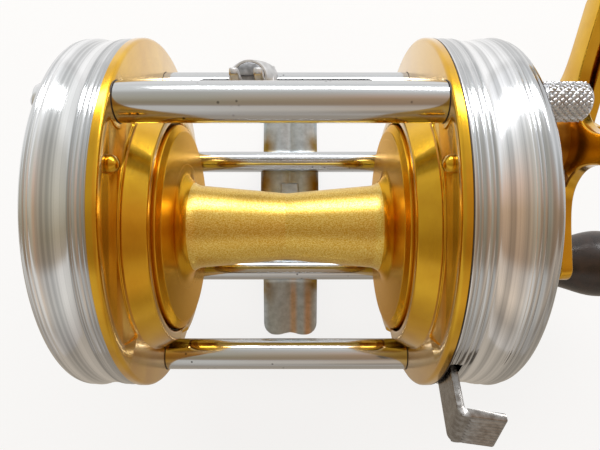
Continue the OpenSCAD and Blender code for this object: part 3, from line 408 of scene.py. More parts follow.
# Crossbars and foot pillars: drawn steel rods, polished bright, with shouldered ends set into the plates.
# Age has left fine dark pits in them.
front_pillar = on_plate(2.58, -62.2)
rear_pillar = on_plate(2.58, 242.2)
bars = (("front_crossbar", front_bar, 2.525), ("rear_crossbar", rear_bar, 2.5),
        ("front_foot_pillar", front_pillar, 2.15), ("rear_foot_pillar", rear_pillar, 2.15))
bar_edge = 0.18


def lathe(name, axis, profile, steps=160, sharp=32, closed=False):
    # Revolves a profile of (position along X, radius), or one for each angle, about an axis parallel to X
    points = []
    for i in range(steps):
        a = 2 * math.pi * i / steps
        section = profile(a) if callable(profile) else profile
        points += spun(axis, a, section)
    return build(name, points, grid_faces(steps, len(section), True, closed), sharp)


def mirrored(profile):
    return [(-x, r) for x, r in profile]


def bar_profile(radius):
    half = [(plate_in, 0.0), (plate_in, radius - bar_edge),
            (plate_in - bar_edge * 0.4, radius - bar_edge * 0.2), (plate_in - bar_edge, radius)]
    return mirrored(half) + [(x * 0.5 - 5, radius) for x in range(1, 20)] + half[::-1]


# Drawn steel, polished and pitted: a pale mirror, fine lines along the rod, and patches of small dark pits
bar_steel, tree, look, place = surface("drawn_steel_polished_pitted", "#C9CBCD", 0.12)
pits = add(tree, "TexVoronoi", {"Vector": place, "Scale": 1000 / 1.1111}, feature="F1")
dots = add(tree, "MapRange", (pits, 0.1, 0.2, 1.0, 0.0))
where = add(tree, "TexNoise", {"Vector": place, "Scale": 1000 / 3.8462, "Detail": 2.0})
patch = add(tree, "MapRange", (where, 0.56, 0.66, 0.0, 1.0))
spots = add(tree, "Math", (dots, patch), operation="MULTIPLY")
add(tree, "Mix", {0: spots, 6: linear("#C9CBCD"), 7: linear("#2B2622")}, look["Base Color"], data_type="RGBA")
stretch = add(tree, "Mapping", {"Vector": place, "Scale": (1000 / 25, 1000 / 0.7143, 1000 / 0.7143)})
draw = add(tree, "TexNoise", {"Vector": stretch, "Scale": 1.0, "Detail": 3.0})
add(tree, "MapRange", (draw, 0.3, 0.7, 0.08, 0.2), look["Roughness"])
add(tree, "Bump", {"Height": draw, "Strength": 0.05, "Distance": 0.1 * mm}, look["Normal"])

for name, axis, radius in bars:
    piece(lathe("steel_" + name, axis, bar_profile(radius), 96), "frame", "polished_steel", bar_steel, name)


# Joint lines: painted shade stands as dark rings in the hair-wide gaps round the bar ends and behind the
# right plate.
# Each is a thin ring that lies in its gap.
worm_axis = on_plate(6.64, -1.4)
tube_r = 3.0
gap_deep, gap_proud = 0.1, 0.03
gap_under, gap_over = 0.1, 0.09
seam_in_r = 26.0
seam_inset = 0.02
seam_w = 0.12


def ring(name, axis, start, end, bore, radius, steps, sharp=30):
    return lathe(name, axis, [(start, bore), (start, radius), (end, radius), (end, bore)], steps, sharp, True)


def mottled(name, colour, roughness, size, detail, tones=None, sheen=None, bump=0.0, swirl=0.0,
            constants=None):
    # A material whose tones, roughness and relief follow one noise, with marks of a size in millimetres
    made, tree, look, place = surface(name, colour, roughness, constants)
    marks = add(tree, "TexNoise", {
        "Vector": place, "Scale": 1000 / size, "Detail": detail, "Distortion": swirl})
    if tones:
        add(tree, "ValToRGB", (marks,), look["Base Color"], tones)
    if sheen:
        add(tree, "MapRange", (marks, 0.3, 0.7) + sheen, look["Roughness"])
    if bump:
        add(tree, "Bump", {"Height": marks, "Strength": bump, "Distance": 0.1 * mm}, look["Normal"])
    return made


def join(name, sharp, *objects):
    # Gathers loose meshes into one piece
    shape = bmesh.new()
    for obj in objects:
        shape.from_mesh(obj.data)
        bpy.data.objects.remove(obj)
    return finished(name, shape, sharp)


gaps = []
for axis, radius in [bar[1:] for bar in bars] + [(worm_axis, tube_r)]:
    for way in (-1, 1):
        gaps.append(ring("gap", axis, way * (plate_in + gap_deep), way * (plate_in - gap_proud),
                         radius - gap_under, radius + gap_over, 64))
gaps.append(ring("gap", plate_axis, plate_out - seam_inset, plate_out + seam_w,
                 seam_in_r, plate_r - seam_inset, 256))

# Painted shade in the gaps: a dull brown-black film, mottled lighter and darker
painted_gap_shade = mottled("painted_shade_dark_film", "#3A2F26", 0.5, 1.1111, 2.0, ((0, "#2A211B"), (1, "#55463A")),
                 constants={"Metallic": 0.0})
# These dark rings are painted shade in the joint gaps
piece(join("painted_shade_joint_rings", 30, *gaps), "frame", "dark_knob", painted_gap_shade)


# Reel foot: one steel forging, brushed lengthwise, that the rod's seat clamps by its two thin tips.
# Two soft lobes run along it with a valley between them; a saddle with a low rib carries the pillars.
foot_half = 27.25
foot_mid_w = 12.6
foot_tip_w = 12.2
foot_corner = 2.6
foot_tip_t = 1.25
foot_toe_t = 1.75
saddle_top = 8.25
saddle_y = 10.9
toe_y = 15.2
scallop = 0.45
scallop_half = 2.6
lobe_h = 0.5
lobe_sink = 0.35
shoulder = 0.9
draft_x, draft_y = 0.99, 0.995
foot_steps = 96
rib_low, rib_high = (-1.9, -7.0, 6.0), (1.9, 7.0, 8.85)
rib_round = 0.25


def foot_width(y):
    return (foot_mid_w + (foot_tip_w - foot_mid_w) * abs(y) / (foot_half - foot_corner)) / 2


def foot_end(u):
    x = abs(u) * foot_tip_w / 2
    over = max(0.0, x - (foot_tip_w / 2 - foot_corner))
    corner = foot_corner - math.sqrt(max(0.0, foot_corner ** 2 - over ** 2))
    return foot_half - corner - scallop * max(0.0, 1 - (x / scallop_half) ** 2) ** 1.5


def foot_top(y, u):
    d = abs(y)
    if d >= toe_y:
        base = foot_toe_t + (foot_tip_t - foot_toe_t) * (d - toe_y) / (foot_half - toe_y)
    elif d <= saddle_y:
        base = saddle_top
    else:
        t = (d - saddle_y) / (toe_y - saddle_y)
        base = saddle_top + (foot_toe_t - saddle_top) * t ** 3 * (10 - 15 * t + 6 * t * t)
    lobe = lobe_h * (1 - (2 * abs(u) - shoulder) ** 2)
    return base - lobe_sink + lobe - lobe_sink * max(0.0, abs(u) - shoulder) / (1 - shoulder)


def block(name, low, high, bevel, segments=3):
    # A block with rounded edges
    shape = bmesh.new()
    bmesh.ops.create_cube(shape, size=1.0)
    size = [high[i] - low[i] for i in range(3)]
    centre = [(high[i] + low[i]) / 2 for i in range(3)]
    bmesh.ops.scale(shape, vec=size, verts=shape.verts)
    bmesh.ops.translate(shape, vec=centre, verts=shape.verts)
    bmesh.ops.bevel(shape, geom=shape.edges[:], offset=bevel, segments=segments, affect="EDGES", profile=0.5)
    bmesh.ops.scale(shape, vec=(mm, mm, mm), verts=shape.verts)
    return finished(name, shape, 32)


across = [-1, -0.985, -0.95, -0.9, -0.8, -0.7, -0.6, -0.5, -0.4, -0.3, -0.2, -0.1, -0.04]
across = across + [0.0] + [-u for u in reversed(across)]
along = [-1 + 2 * i / foot_steps for i in range(foot_steps + 1)]
top_points = []
for u in across:
    for t in along:
        y = t * foot_end(u)
        top_points.append((u * foot_width(y), y, foot_top(y, u)))
low_points = [(x * draft_x, y * draft_y, 0.0) for x, y, z in top_points]
rows, columns = len(across), len(along)
count = rows * columns
top_faces = grid_faces(rows, columns)
low_faces = [tuple(i + count for i in reversed(f)) for f in top_faces]
rim = list(range(columns)) + [i * columns + columns - 1 for i in range(1, rows)]
rim += [(rows - 1) * columns + j for j in range(columns - 2, -1, -1)]
rim += [i * columns for i in range(rows - 2, 0, -1)]
rim_faces = [(a, b, b + count, a + count) for a, b in zip(rim, rim[1:] + rim[:1])]
foot_body = build("foot_body", top_points + low_points, top_faces + low_faces + rim_faces)
foot = join("steel_reel_foot", 40, foot_body, block("foot_rib", rib_low, rib_high, rib_round))

# Forged steel, brushed: grey with a lengthwise grain, brown patches along both sides of the saddle,
# and two coppery lines running along the rear toe
foot_steel, tree, look, place = surface("forged_steel_brushed", "#B9BCBF", 0.36)
stretch = add(tree, "Mapping", {"Vector": place, "Scale": (1000 / 0.66667, 1000 / 22.222, 1000 / 0.66667)})
brush = add(tree, "TexNoise", {"Vector": stretch, "Scale": 1.0, "Detail": 4.0})
split = add(tree, "SeparateXYZ", (place,)).outputs
sideways = add(tree, "Math", (split["X"],), operation="ABSOLUTE")
outer = add(tree, "MapRange", (sideways, 2.6 * mm, 5.2 * mm, 0.0, 1.0))
lengthwise = add(tree, "Math", (split["Y"],), operation="ABSOLUTE")
near = add(tree, "MapRange", (lengthwise, 20.5 * mm, 16.5 * mm, 0.0, 1.0))
blot = add(tree, "TexNoise", {"Vector": place, "Scale": 1000 / 5.2632, "Detail": 3.0})
blots = add(tree, "MapRange", (blot, 0.35, 0.6, 0.2, 1.0))
# Brown-gold patches along both sides, near the saddle
side_band = add(tree, "Math", (outer, near), operation="MULTIPLY")
side_tint = add(tree, "Math", (side_band, blots), operation="MULTIPLY")
# Two coppery lines running lengthwise on the rear toe
toe_line_mask = 0.0
for centre in (0.7, 4.0):
    off = add(tree, "Math", (split["X"], centre * mm), operation="SUBTRACT")
    off = add(tree, "Math", (off,), operation="ABSOLUTE")
    soft = add(tree, "MapRange", (off, 0.3 * mm, 1.1 * mm, 1.0, 0.0))
    toe_line_mask = add(tree, "Math", (soft, toe_line_mask), operation="MAXIMUM")
back = add(tree, "MapRange", (split["Y"], -13 * mm, -18 * mm, 0.0, 1.0))
toe_tint = add(tree, "Math", (back, toe_line_mask), operation="MULTIPLY")
bands = add(tree, "Mix", {0: toe_tint, 6: linear("#B6BDC1"), 7: linear("#CAA98A")}, data_type="RGBA")
cloud = add(tree, "TexNoise", {"Vector": place, "Scale": 1000 / 1.4286, "Detail": 5.0, "Roughness": 0.65})
clouds = add(tree, "MapRange", (cloud, 0.35, 0.65, 0.85, 1.15))
worn = add(tree, "Mix", {0: 1.0, 6: bands, 7: clouds}, data_type="RGBA", blend_type="MULTIPLY")
add(tree, "Mix", {0: side_tint, 6: worn, 7: linear("#94793A")}, look["Base Color"], data_type="RGBA")
add(tree, "MapRange", (brush, 0.3, 0.7, 0.32, 0.46), look["Roughness"])
add(tree, "Bump", {"Height": brush, "Strength": 0.05, "Distance": 0.1 * mm}, look["Normal"])
piece(foot, "frame", "brushed_foot_steel", foot_steel, "reel_foot")


# Side covers: deep aluminium cups, turned bright, with rings and a hollow band cut round their skirts.
# Each is drawn onto the frame by three long screws that seat on small bosses in its face; the right one
# has a slot for the clutch lever and a neck for the tension cap.
ring_fine = 0.42
ring_broad = 0.85
cove_w = 2.4
ring_relief = 0.22
ring_slope = 0.16
# Width of each band of the skirt, from the plate outwards, and whether it stands out or is hollow
left_bands = [(ring_fine * w, 1) for w in (1, 1.2, 1.5, 0.5, 0.8)] + [(cove_w + ring_broad * 1.2, -1)]
left_bands += [(ring_broad * 0.9, 1), (ring_fine, 1), (ring_fine * 0.8, 1)]
right_bands = [(ring_fine * 1.6, 1), (ring_fine, 1), (ring_broad, 1), (ring_fine * 1.4, 1)]
right_bands += [(ring_fine * 1.5, 1), (cove_w + ring_broad * 1.4, -1), (ring_fine * 0.6, 1)]
right_bands += [(ring_fine * 1.4, 1), (ring_fine * 1.2, 1), (ring_broad * 1.5, 1)]
left_edge_r, right_edge_r = 0.45, 1.0
left_dome, right_dome = 1.1, 1.8
step_out_r, step_in_r = 24.2, 23.6
dome_r, dome_w = 23.4, 3.2
face_r = 18.2
face_groove = 0.25
cover_wall = 1.5
face_t = 1.5
cavity_r = 18.0
seat_h = 0.7
seat_r = 2.2
seat_round = 0.25
slot_from, slot_to = 133.7, 176.3
slot_end_x = 22.9
neck_r, neck_bore, neck_l = 4.6, 3.0, 2.6
cover_steps = 256
streak_flat, streak_shift = 0.1, 24.1
long_screws = (front_bar, rear_bar, front_pillar)


def cover_profile(bands, edge_r, dome):
    base_r = plate_r - ring_relief
    x = plate_out
    points = [(plate_out, plate_r - cover_wall)]
    for width, way in bands:
        rise = min(ring_relief, ring_slope * width)
        points += [(x + width * i / 10, base_r + way * rise * math.sin(math.pi * i / 10)) for i in range(10)]
        x += width
    points += [(x + edge_r * sind(a), base_r - edge_r + edge_r * cosd(a)) for a in range(0, 91, 15)]
    edge = x + edge_r
    face = edge + dome
    points += [(edge + 0.05, step_out_r), (edge + 0.25, step_in_r)]
    points += [(edge + dome * (0.35 + 0.62 * sind(a)), dome_r - dome_w * (1 - cosd(a)))
               for a in range(0, 91, 10)]
    points += [(face, face_r), (face, 16.2), (face - face_groove, 15.9), (face - face_groove, 15.3)]
    points += [(face, 15.0), (face, 0.0), (face - face_t, 0.0), (face - face_t, cavity_r)]
    return points + [(x - 0.4, plate_r - cover_wall)], edge, face


def seat_profile(x):
    return [(x - 3, 0.0), (x - 3, seat_r), (x - seat_round, seat_r), (x - 0.07, seat_r - 0.07),
            (x, seat_r - seat_round), (x, 0.0)]


def slab(name, outline, low, high, along="x", bevel=0.0):
    # Extrudes an outline between two places along an axis and rounds the edges of both faces
    shape = bmesh.new()
    turn = (lambda p, h: (h, p[0], p[1])) if along == "x" else (lambda p, h: (p[0], p[1], h))
    first = [shape.verts.new(Vector(turn(p, low)) * mm) for p in outline]
    last = [shape.verts.new(Vector(turn(p, high)) * mm) for p in outline]
    faces = [shape.faces.new(first), shape.faces.new(last)]
    for i in range(len(outline)):
        k = (i + 1) % len(outline)
        shape.faces.new((first[i], first[k], last[k], last[i]))
    bmesh.ops.recalc_face_normals(shape, faces=shape.faces)
    if bevel:
        edges = [edge for face in faces for edge in face.edges]
        bmesh.ops.bevel(shape, geom=edges, offset=bevel * mm, segments=3, affect="EDGES", profile=0.5)
    return finished(name, shape, 32)


# Aluminium, turned bright: a silvery mirror with lighter and darker streaks round the cup.
# The streaks are drawn ten times coarser across the flat faces, where they would band.
turned, tree, look, place = surface("turned_aluminium_bright", "#DCDDDF", 0.16)
turning = from_axis(tree, place, plate_axis)
lathe_line = add(tree, "VectorMath", (turning, (1, streak_flat, 0), (0, streak_shift, 0)),
                 operation="MULTIPLY_ADD")
streak = add(tree, "TexNoise", {"Vector": lathe_line, "Scale": 1 / 0.90909, "Detail": 3.0, "Roughness": 0.6})
add(tree, "ValToRGB", (streak,), look["Base Color"], ((0.36, "#B4B6B8"), (0.62, "#F0F1F3")))
rings = add(tree, "TexNoise", {"Vector": turning, "Scale": 1 / 0.2, "Detail": 4.0})
cloud = add(tree, "TexNoise", {"Vector": place, "Scale": 1000 / 8.3333, "Detail": 3.0})
mottle = add(tree, "Math", (rings, cloud), operation="ADD")
add(tree, "MapRange", (mottle, 0.7, 1.3, 0.1, 0.18), look["Roughness"])
add(tree, "Bump", {"Height": rings, "Strength": 0.03, "Distance": 0.1 * mm}, look["Normal"])

profile, left_edge_x, _ = cover_profile(left_bands, left_edge_r, left_dome)
left_seat_x = left_edge_x + seat_h
left_cup = lathe("left_cup", plate_axis, mirrored(profile), cover_steps, 24, True)
left_seats = [lathe("seat", c, mirrored(seat_profile(left_seat_x)), 48) for c in long_screws]
left_cover = join("aluminium_cover_left", 24, left_cup, *left_seats)
piece(left_cover, "frame", "turned_aluminium", turned, "left_side_cover")

profile, right_edge_x, right_face_x = cover_profile(right_bands, right_edge_r, right_dome)
right_seat_x = right_edge_x + seat_h
right_cup = lathe("right_cup", plate_axis, profile, cover_steps, 24, True)
wedge = [spool_axis] + arc_points(spool_axis, 40, slot_from, slot_to, 4)
cut(right_cup, slab("slot_tool", wedge, plate_out - 1, slot_end_x))
neck_x = right_face_x + neck_l
right_neck = lathe("neck", spool_axis, [
    (right_face_x - 0.5, neck_r), (neck_x - 0.3, neck_r), (neck_x, neck_r - 0.3), (neck_x, neck_bore),
    (right_face_x - 0.5, neck_bore)], 64, 32, True)
right_seats = [lathe("seat", c, seat_profile(right_seat_x), 48) for c in long_screws]
right_cover = join("aluminium_cover_right", 24, right_cup, right_neck, *right_seats)
piece(right_cover, "frame", "turned_aluminium", turned, "right_side_cover")


# Cover screws and takedown thumb screws: chromed steel, three of each on the long bar axes.
# The thumb screws have a smooth neck, a diamond knurl rolled into the head and a bevelled end.
head_r = 2.42
head_h = 5.6
head_x = right_seat_x - 0.85
head_rows, head_steps = 68, 200
stem_h = 0.9
stem_r = 2.07
knurl_count = 10
knurl_depth = 0.22
knurl_lead = 0.88
knurl_fade = 0.35
cover_screw_r, cover_screw_h, cover_screw_slot = 1.3, 1.15, 0.4
slot_depth = 0.45


def knurled_section(a):
    # A thumb screw cut at an angle, from the inner end of its stem
    section = [(head_x - stem_h, 0.0), (head_x - stem_h, stem_r - 0.07), (head_x - stem_h + 0.1, stem_r),
               (head_x - 0.12, stem_r), (head_x - 0.02, 1.9)]
    for i in range(head_rows + 1):
        x = head_h * i / head_rows
        fade = min(1.0, min(x, head_h - x) / knurl_fade)
        swell = min(1.0, 0.55 + 0.45 * min(x / 0.25, 1.0), 0.78 + 0.22 * min((head_h - x) / 0.5, 1.0))
        one = abs(math.sin(knurl_count * (a + knurl_lead * x / head_r)))
        two = abs(math.sin(knurl_count * (a - knurl_lead * x / head_r)))
        groove = knurl_depth * (1 - min(1.0, 1.25 * min(one, two))) * fade
        section.append((head_x + x, head_r * swell - groove))
    return section + [(head_x + head_h + 0.01, head_r * 0.6), (head_x + head_h, 0.0)]


def dome_screw(name, axis, x0, way, radius, height, slot_w, depth):
    ball = (radius ** 2 + height ** 2) / (2 * height)
    rise = [(x0 + way * (math.sqrt(ball ** 2 - r * r) - (ball - height)), r)
            for r in [radius * (1 - i / 12) for i in range(13)]]
    dome = lathe(name, axis, [(x0 - way * 0.1, 0.0), (x0 - way * 0.1, radius - 0.05)] + rise, 64)
    top = x0 + way * height
    start, end = sorted((top + way * 0.3, top - way * depth))
    low = (start, axis[0] - radius, axis[1] - slot_w / 2)
    high = (end, axis[0] + radius, axis[1] + slot_w / 2)
    cut(dome, block("slot", low, high, 0.02, 1))
    return dome


# Chromed steel, bright: a cool sharp mirror with a slight haze from use
chrome = mottled("chromed_steel_bright", "#C6C7CA", 0.1, 1.6667, 3.0, sheen=(0.07, 0.18))

heads = [lathe("thumb", c, knurled_section, head_steps) for c in long_screws]
thumbs = join("chrome_takedown_thumb_screws", 35, *heads)
piece(thumbs, "frame", "bright_chrome", chrome, "takedown_thumb_screws")

domes = [dome_screw("dome", c, -left_seat_x, -1, cover_screw_r, cover_screw_h, cover_screw_slot, slot_depth)
         for c in long_screws]
screws = join("chrome_left_cover_screws", 30, *domes)
piece(screws, "frame", "bright_chrome", chrome, "left_cover_screws")


# Plate studs: little domed gold screws with a slot, one in each arc pocket.
# They pin the inner plates to the frame plates; the left one's slot is cut deeper.
stud_at = on_plate(3.72, 77.2)
stud_x = plate_in + pocket_depth
stud_r, stud_h, stud_slot = 1.17, 1.25, 0.28
left_slot_depth = 0.75
studs = join("gold_plate_studs", 30,
             dome_screw("stud", stud_at, -stud_x, 1, stud_r, stud_h, stud_slot, left_slot_depth),
             dome_screw("stud", stud_at, stud_x, -1, stud_r, stud_h, stud_slot, slot_depth))
piece(studs, "frame", "gold_anodised", gold_polished, "plate_studs")


# Spool: turned from one piece of gold anodised aluminium, empty of line.
# The arbor is blasted to a fine sparkle; the flanges are satin with a pale bevel at the rim.
flange_r = 16.5
flange_in = 16.8
flange_out = 18.3
flange_face = 16.1
flange_back = flange_face + 1.0
flange_round = 0.3
waist_r = 5.5
arbor_end_r = 6.7
fillet = 2.8
hub_r = 4.0
shaft_r = 1.26
blasted_half = flange_face - 1.2
half = [(0.0, waist_r)]
half += [((flange_face - fillet) * t / 8, waist_r + (arbor_end_r - waist_r) * t / 8) for t in range(1, 8)]
half += [(flange_face - fillet + fillet * sind(a), arbor_end_r + fillet * (1 - cosd(a)))
         for a in range(0, 91, 6)]
half += [(flange_face + 0.03, 12.5), (flange_face + 0.06, 14.0), (flange_face + 0.1, flange_r - 1.05),
         (flange_face + 0.16, flange_r - 1.0), (flange_in - 0.05, flange_r - 0.08)]
half += [(flange_in + 0.05, flange_r), (flange_out - flange_round, flange_r),
         (flange_out, flange_r - flange_round)]
half += [(flange_out, flange_r - 1.0), (flange_back, flange_r - 1.1), (flange_back, hub_r + 0.1),
         (flange_out, hub_r), (flange_out, shaft_r)]
spool = lathe("gold_spool", spool_axis, mirrored(half[:0:-1]) + half, 256, 8, True)

# Gold anodised aluminium, blasted: a matt gold that glitters, its grit drawn coarse enough to show
blasted = mottled("gold_anodised_aluminium_blasted", "#D9A42B", 0.34, 0.153846, 2.0,
                  ((0.36, "#D8A42A"), (0.66, "#FAE288")), bump=0.12)
# Gold anodised aluminium, satin: soft broad reflections that turn pale at a low angle, and very fine rings
satin, tree, look, place = surface("gold_anodised_aluminium_satin", "#DCA62E", 0.24, {
    "Specular Tint": linear("#FFEAC0")})
turning = from_axis(tree, place, spool_axis)
rings = add(tree, "TexNoise", {"Vector": turning, "Scale": 1 / 0.16667, "Detail": 3.0})
add(tree, "MapRange", (rings, 0.3, 0.7, 0.25, 0.275), look["Roughness"])
add(tree, "Bump", {"Height": rings, "Strength": 0.004, "Distance": 0.1 * mm}, look["Normal"])
spool.data.materials.append(blasted)
spool.data.materials.append(satin)
for face in spool.data.polygons:
    face.material_index = 0 if abs(face.center.x) < blasted_half * mm else 1
piece(spool, "spool_rotor", "gold_anodised", None, "spool")


# Level wind: a thin steel tube slotted along its top, with the crossed-groove worm turning inside it.
# The tube is pushed into the plates at both ends; the worm's two grooves meet in a turn at each end.
tube_bore = 2.55
guide_travel = 12.55
slot_half_w = 1.2
slot_run = guide_travel + 1.9 - slot_half_w
slot_h = 6
worm_r = 2.1
worm_half = guide_travel + 2
worm_turns = 3.0
worm_rows, worm_steps = 220, 64
worm_left, worm_right = plate_out + 2.1, 26.075
journal_r = 1.4
journal_edge = 0.1
groove_run = worm_half - 1.0
groove_w = 1.0
groove_depth = 0.62
groove_soft = 0.12


def groove_at(x, angle):
    # Depth of the two opposite helical grooves, which are one closed track that turns back at its ends
    lead = 2 * groove_run / worm_turns
    offs = []
    for way in (1, -1):
        centre = (way * angle / (2 * math.pi)) * lead
        offs.append(abs((x - centre + lead / 2) % lead - lead / 2))
    best = max(min(offs), abs(x) - groove_run)
    t = min(1.0, max(0.0, (best - groove_w / 2 + groove_soft) / (2 * groove_soft)))
    return groove_depth * (1 - t)


def worm_section(a):
    section = [(-worm_left, 0.0), (-worm_left, journal_r - journal_edge),
               (journal_edge - worm_left, journal_r), (-worm_half, journal_r)]
    for i in range(worm_rows + 1):
        x = -worm_half + 2 * worm_half * i / worm_rows
        section.append((x, worm_r - groove_at(x, a)))
    return section + [(worm_half, journal_r), (worm_right - 0.075, journal_r),
                      (worm_right, journal_r - journal_edge), (worm_right, 0.0)]


tube = ring("chrome_levelwind_tube", worm_axis, -plate_out, plate_out, tube_bore, tube_r, 96, 32)
slot_outline = arc_points((slot_run, worm_axis[0]), slot_half_w, -90, 90, 12)
slot_outline += arc_points((-slot_run, worm_axis[0]), slot_half_w, 90, 270, 12)
cut(tube, slab("slot", slot_outline, worm_axis[1], worm_axis[1] + slot_h, "z"), 32)
piece(tube, "frame", "polished_steel", bar_steel, "levelwind_tube")

worm = lathe("steel_crossed_worm", worm_axis, worm_section, worm_steps, 40)
# Alloy steel, ground: darker grey than the tube, with dull and bright grinding marks
ground = mottled("alloy_steel_ground", "#A9ABAE", 0.22, 1.4286, 3.0, sheen=(0.16, 0.34), bump=0.05)
piece(worm, "worm_rotor", "machine_steel", ground, "worm")


# Line guide: a satin plated carriage that slides on the tube, with a turret over its pawl.
# The turret goes from a rounded square to a round top; a dull slotted cap closes it,
# and two upright flat prongs lead the line between them.
guide_x = -5.1
sleeve_r = tube_r + 1
sleeve_half = 3.2
sleeve_gap = 0.03
turret_top = 4.9
turret_lean = 0.7
turret_shift, turret_aside = 0.15, 0.65
turret_steps = 128
# Height over the worm's axis, half width, squareness and lean of each level, from the sleeve up
turret_levels = [(1.2, 4.0, 3.0, 0.0), (1.4, 4.15, 3.0, 0.0), (2.2, 4.12, 2.9, 0.03), (2.7, 4.03, 2.8, 0.08),
                 (3.2, 3.86, 2.6, 0.17), (3.7, 3.58, 2.4, 0.32), (4.15, 3.32, 2.2, 0.48),
                 (4.55, 3.06, 2.1, 0.62), (4.82, 2.87, 2.0, turret_lean)]
cap_x = guide_x - 0.6
cap_y = worm_axis[0] + turret_lean
cap_z = worm_axis[1] + turret_top
cap_r = 2.45
cap_stem_r = 1.98
cap_slot_half = 0.45
cap_slot_depth = 0.35
prong_y = worm_axis[0] - 2.3
prong_low = worm_axis[1] + 2.4
prong_high = worm_axis[1] + 17.5
prong_half_w, prong_half_t = 0.6, 0.5
prong_round = 0.6
prong_square = 0.35
prong_steps = 24
prong_left, prong_right = guide_x - 1.35, guide_x + 1.85


def turret_ring(height, half, power, lean):
    points = []
    for k in range(turret_steps):
        a = 2 * math.pi * k / turret_steps
        c, s = math.cos(a), math.sin(a)
        grow = half / (abs(c) ** power + abs(s) ** power) ** (1 / power)
        points.append((guide_x - turret_shift - turret_aside * lean + grow * c,
                       worm_axis[0] + lean + grow * s, worm_axis[1] + height))
    return points


def turned_up(name, centre, profile, steps):
    # Revolves a profile of (radius, height) about an upright axis
    points = []
    for i in range(steps):
        a = 2 * math.pi * i / steps
        points += [(centre[0] + r * math.cos(a), centre[1] + r * math.sin(a), z) for r, z in profile]
    return build(name, points, grid_faces(steps, len(profile), True))


def prong(x):
    # An upright strip with rounded edges and a round top
    base = prong_high - prong_round
    levels = [(prong_low + (base - prong_low) * i / 4, 1.0) for i in range(5)]
    levels += [(base + prong_round * sind(a), cosd(a)) for a in (18, 36, 54, 72, 84)]
    points = []
    for z, grow in levels:
        for k in range(prong_steps):
            a = 2 * math.pi * k / prong_steps
            c, s = math.cos(a), math.sin(a)
            px = math.copysign(abs(c) ** prong_square, c) * prong_half_w * grow
            py = math.copysign(abs(s) ** prong_square, s) * prong_half_t * (0.35 + 0.65 * grow)
            points.append((x + px, prong_y + py, z))
    last = (len(levels) - 1) * prong_steps
    faces = grid_faces(len(levels), prong_steps, False, True)
    faces += [tuple(reversed(range(prong_steps))), tuple(range(last, last + prong_steps))]
    return build("prong", points, faces)


sleeve_left, sleeve_right = guide_x - sleeve_half, guide_x + sleeve_half
sleeve = lathe("sleeve", worm_axis, [
    (sleeve_left, tube_r + sleeve_gap), (sleeve_left, sleeve_r - 0.2), (sleeve_left + 0.06, sleeve_r - 0.06),
    (sleeve_left + 0.2, sleeve_r), (sleeve_right - 0.2, sleeve_r), (sleeve_right - 0.06, sleeve_r - 0.06),
    (sleeve_right, sleeve_r - 0.2), (sleeve_right, tube_r + sleeve_gap)], 96, 32, True)
bore_levels = [(turret_top, cap_r + 0.34), (turret_top, cap_r + 0.06), (turret_top - 0.04, cap_r + 0.02),
               (turret_top - 0.6, cap_r + 0.02), (turret_top - 0.6, 2.1)]
turret_rings = [(3.2, 2.1, 2.0, turret_lean)] + turret_levels
turret_rings += [(height, radius, 2.0, turret_lean) for height, radius in bore_levels]
turret_points = []
for level in turret_rings:
    turret_points += turret_ring(*level)
turret = build("turret", turret_points, grid_faces(len(turret_rings), turret_steps, True, True))

# Steel, satin plated: an even pale grey with a soft shine
plated = mottled("steel_satin_plated", "#C3C4C5", 0.3, 1.25, 3.0,
                 ((0.3, "#B4B4B4"), (0.7, "#CFCFD0")), (0.36, 0.48))
carriage = join("chrome_line_guide_carriage", 32, sleeve, turret)
piece(carriage, "line_guide", "bright_chrome", plated, "line_guide_carriage")

cap = turned_up("steel_pawl_cap", (cap_x, cap_y), [
    (0.0, cap_z - 1.1), (cap_stem_r, cap_z - 1.1), (cap_stem_r, cap_z - 0.6), (cap_r, cap_z - 0.6),
    (cap_r, cap_z - 0.12), (cap_r - 0.04, cap_z - 0.04), (cap_r - 0.12, cap_z), (0.0, cap_z)], 96)
slot_low = (cap_x - 3.2, cap_y - cap_slot_half, cap_z - cap_slot_depth)
slot_high = (cap_x + 3.2, cap_y + cap_slot_half, cap_z + 1)
cut(cap, block("slot", slot_low, slot_high, 0.02, 1), 30)
# Steel, dull plated: a sooty grey, clouded lighter and darker
dull = mottled("steel_dull_plated", "#8B8D90", 0.36, 1.1111, 4.0,
               ((0.3, "#6E6F72"), (0.7, "#9C9DA0")), (0.28, 0.46))
piece(cap, "line_guide", "machine_steel", dull, "pawl_cap")

prongs = join("chrome_line_guide_prongs", 40, prong(prong_left), prong(prong_right))
piece(prongs, "line_guide", "bright_chrome", plated, "line_guide_prongs")


# Clutch lever: a strip of plated steel on the spool's axis, bent over at its end into a ribbed thumb tab.
# It comes out through a slot in the skirt of the right cover and turns back when it is pressed.
lever_a = 145.0
lever_reach = 31.5
lever_root = 5.0
lever_half = 3.2
lever_t = 1.0
lever_x = 21.7
lever_slant = 15.6
lever_edges = (0.12, 0.04, 0.0)
lever_eye_r, lever_bore = 8.0, 3.3
tab_end = lever_x + 5.9
tab_flare = 0.13
bend_r = 1.1
bend_in_r = bend_r - lever_t + 0.15
rib_count = 9
rib_steps = 6 * rib_count
rib_h = 0.25
rib_margin = 0.25
rib_span = 2 * (lever_half - rib_margin)


def lever_end(y):
    return lever_reach + y * math.tan(math.radians(lever_slant))


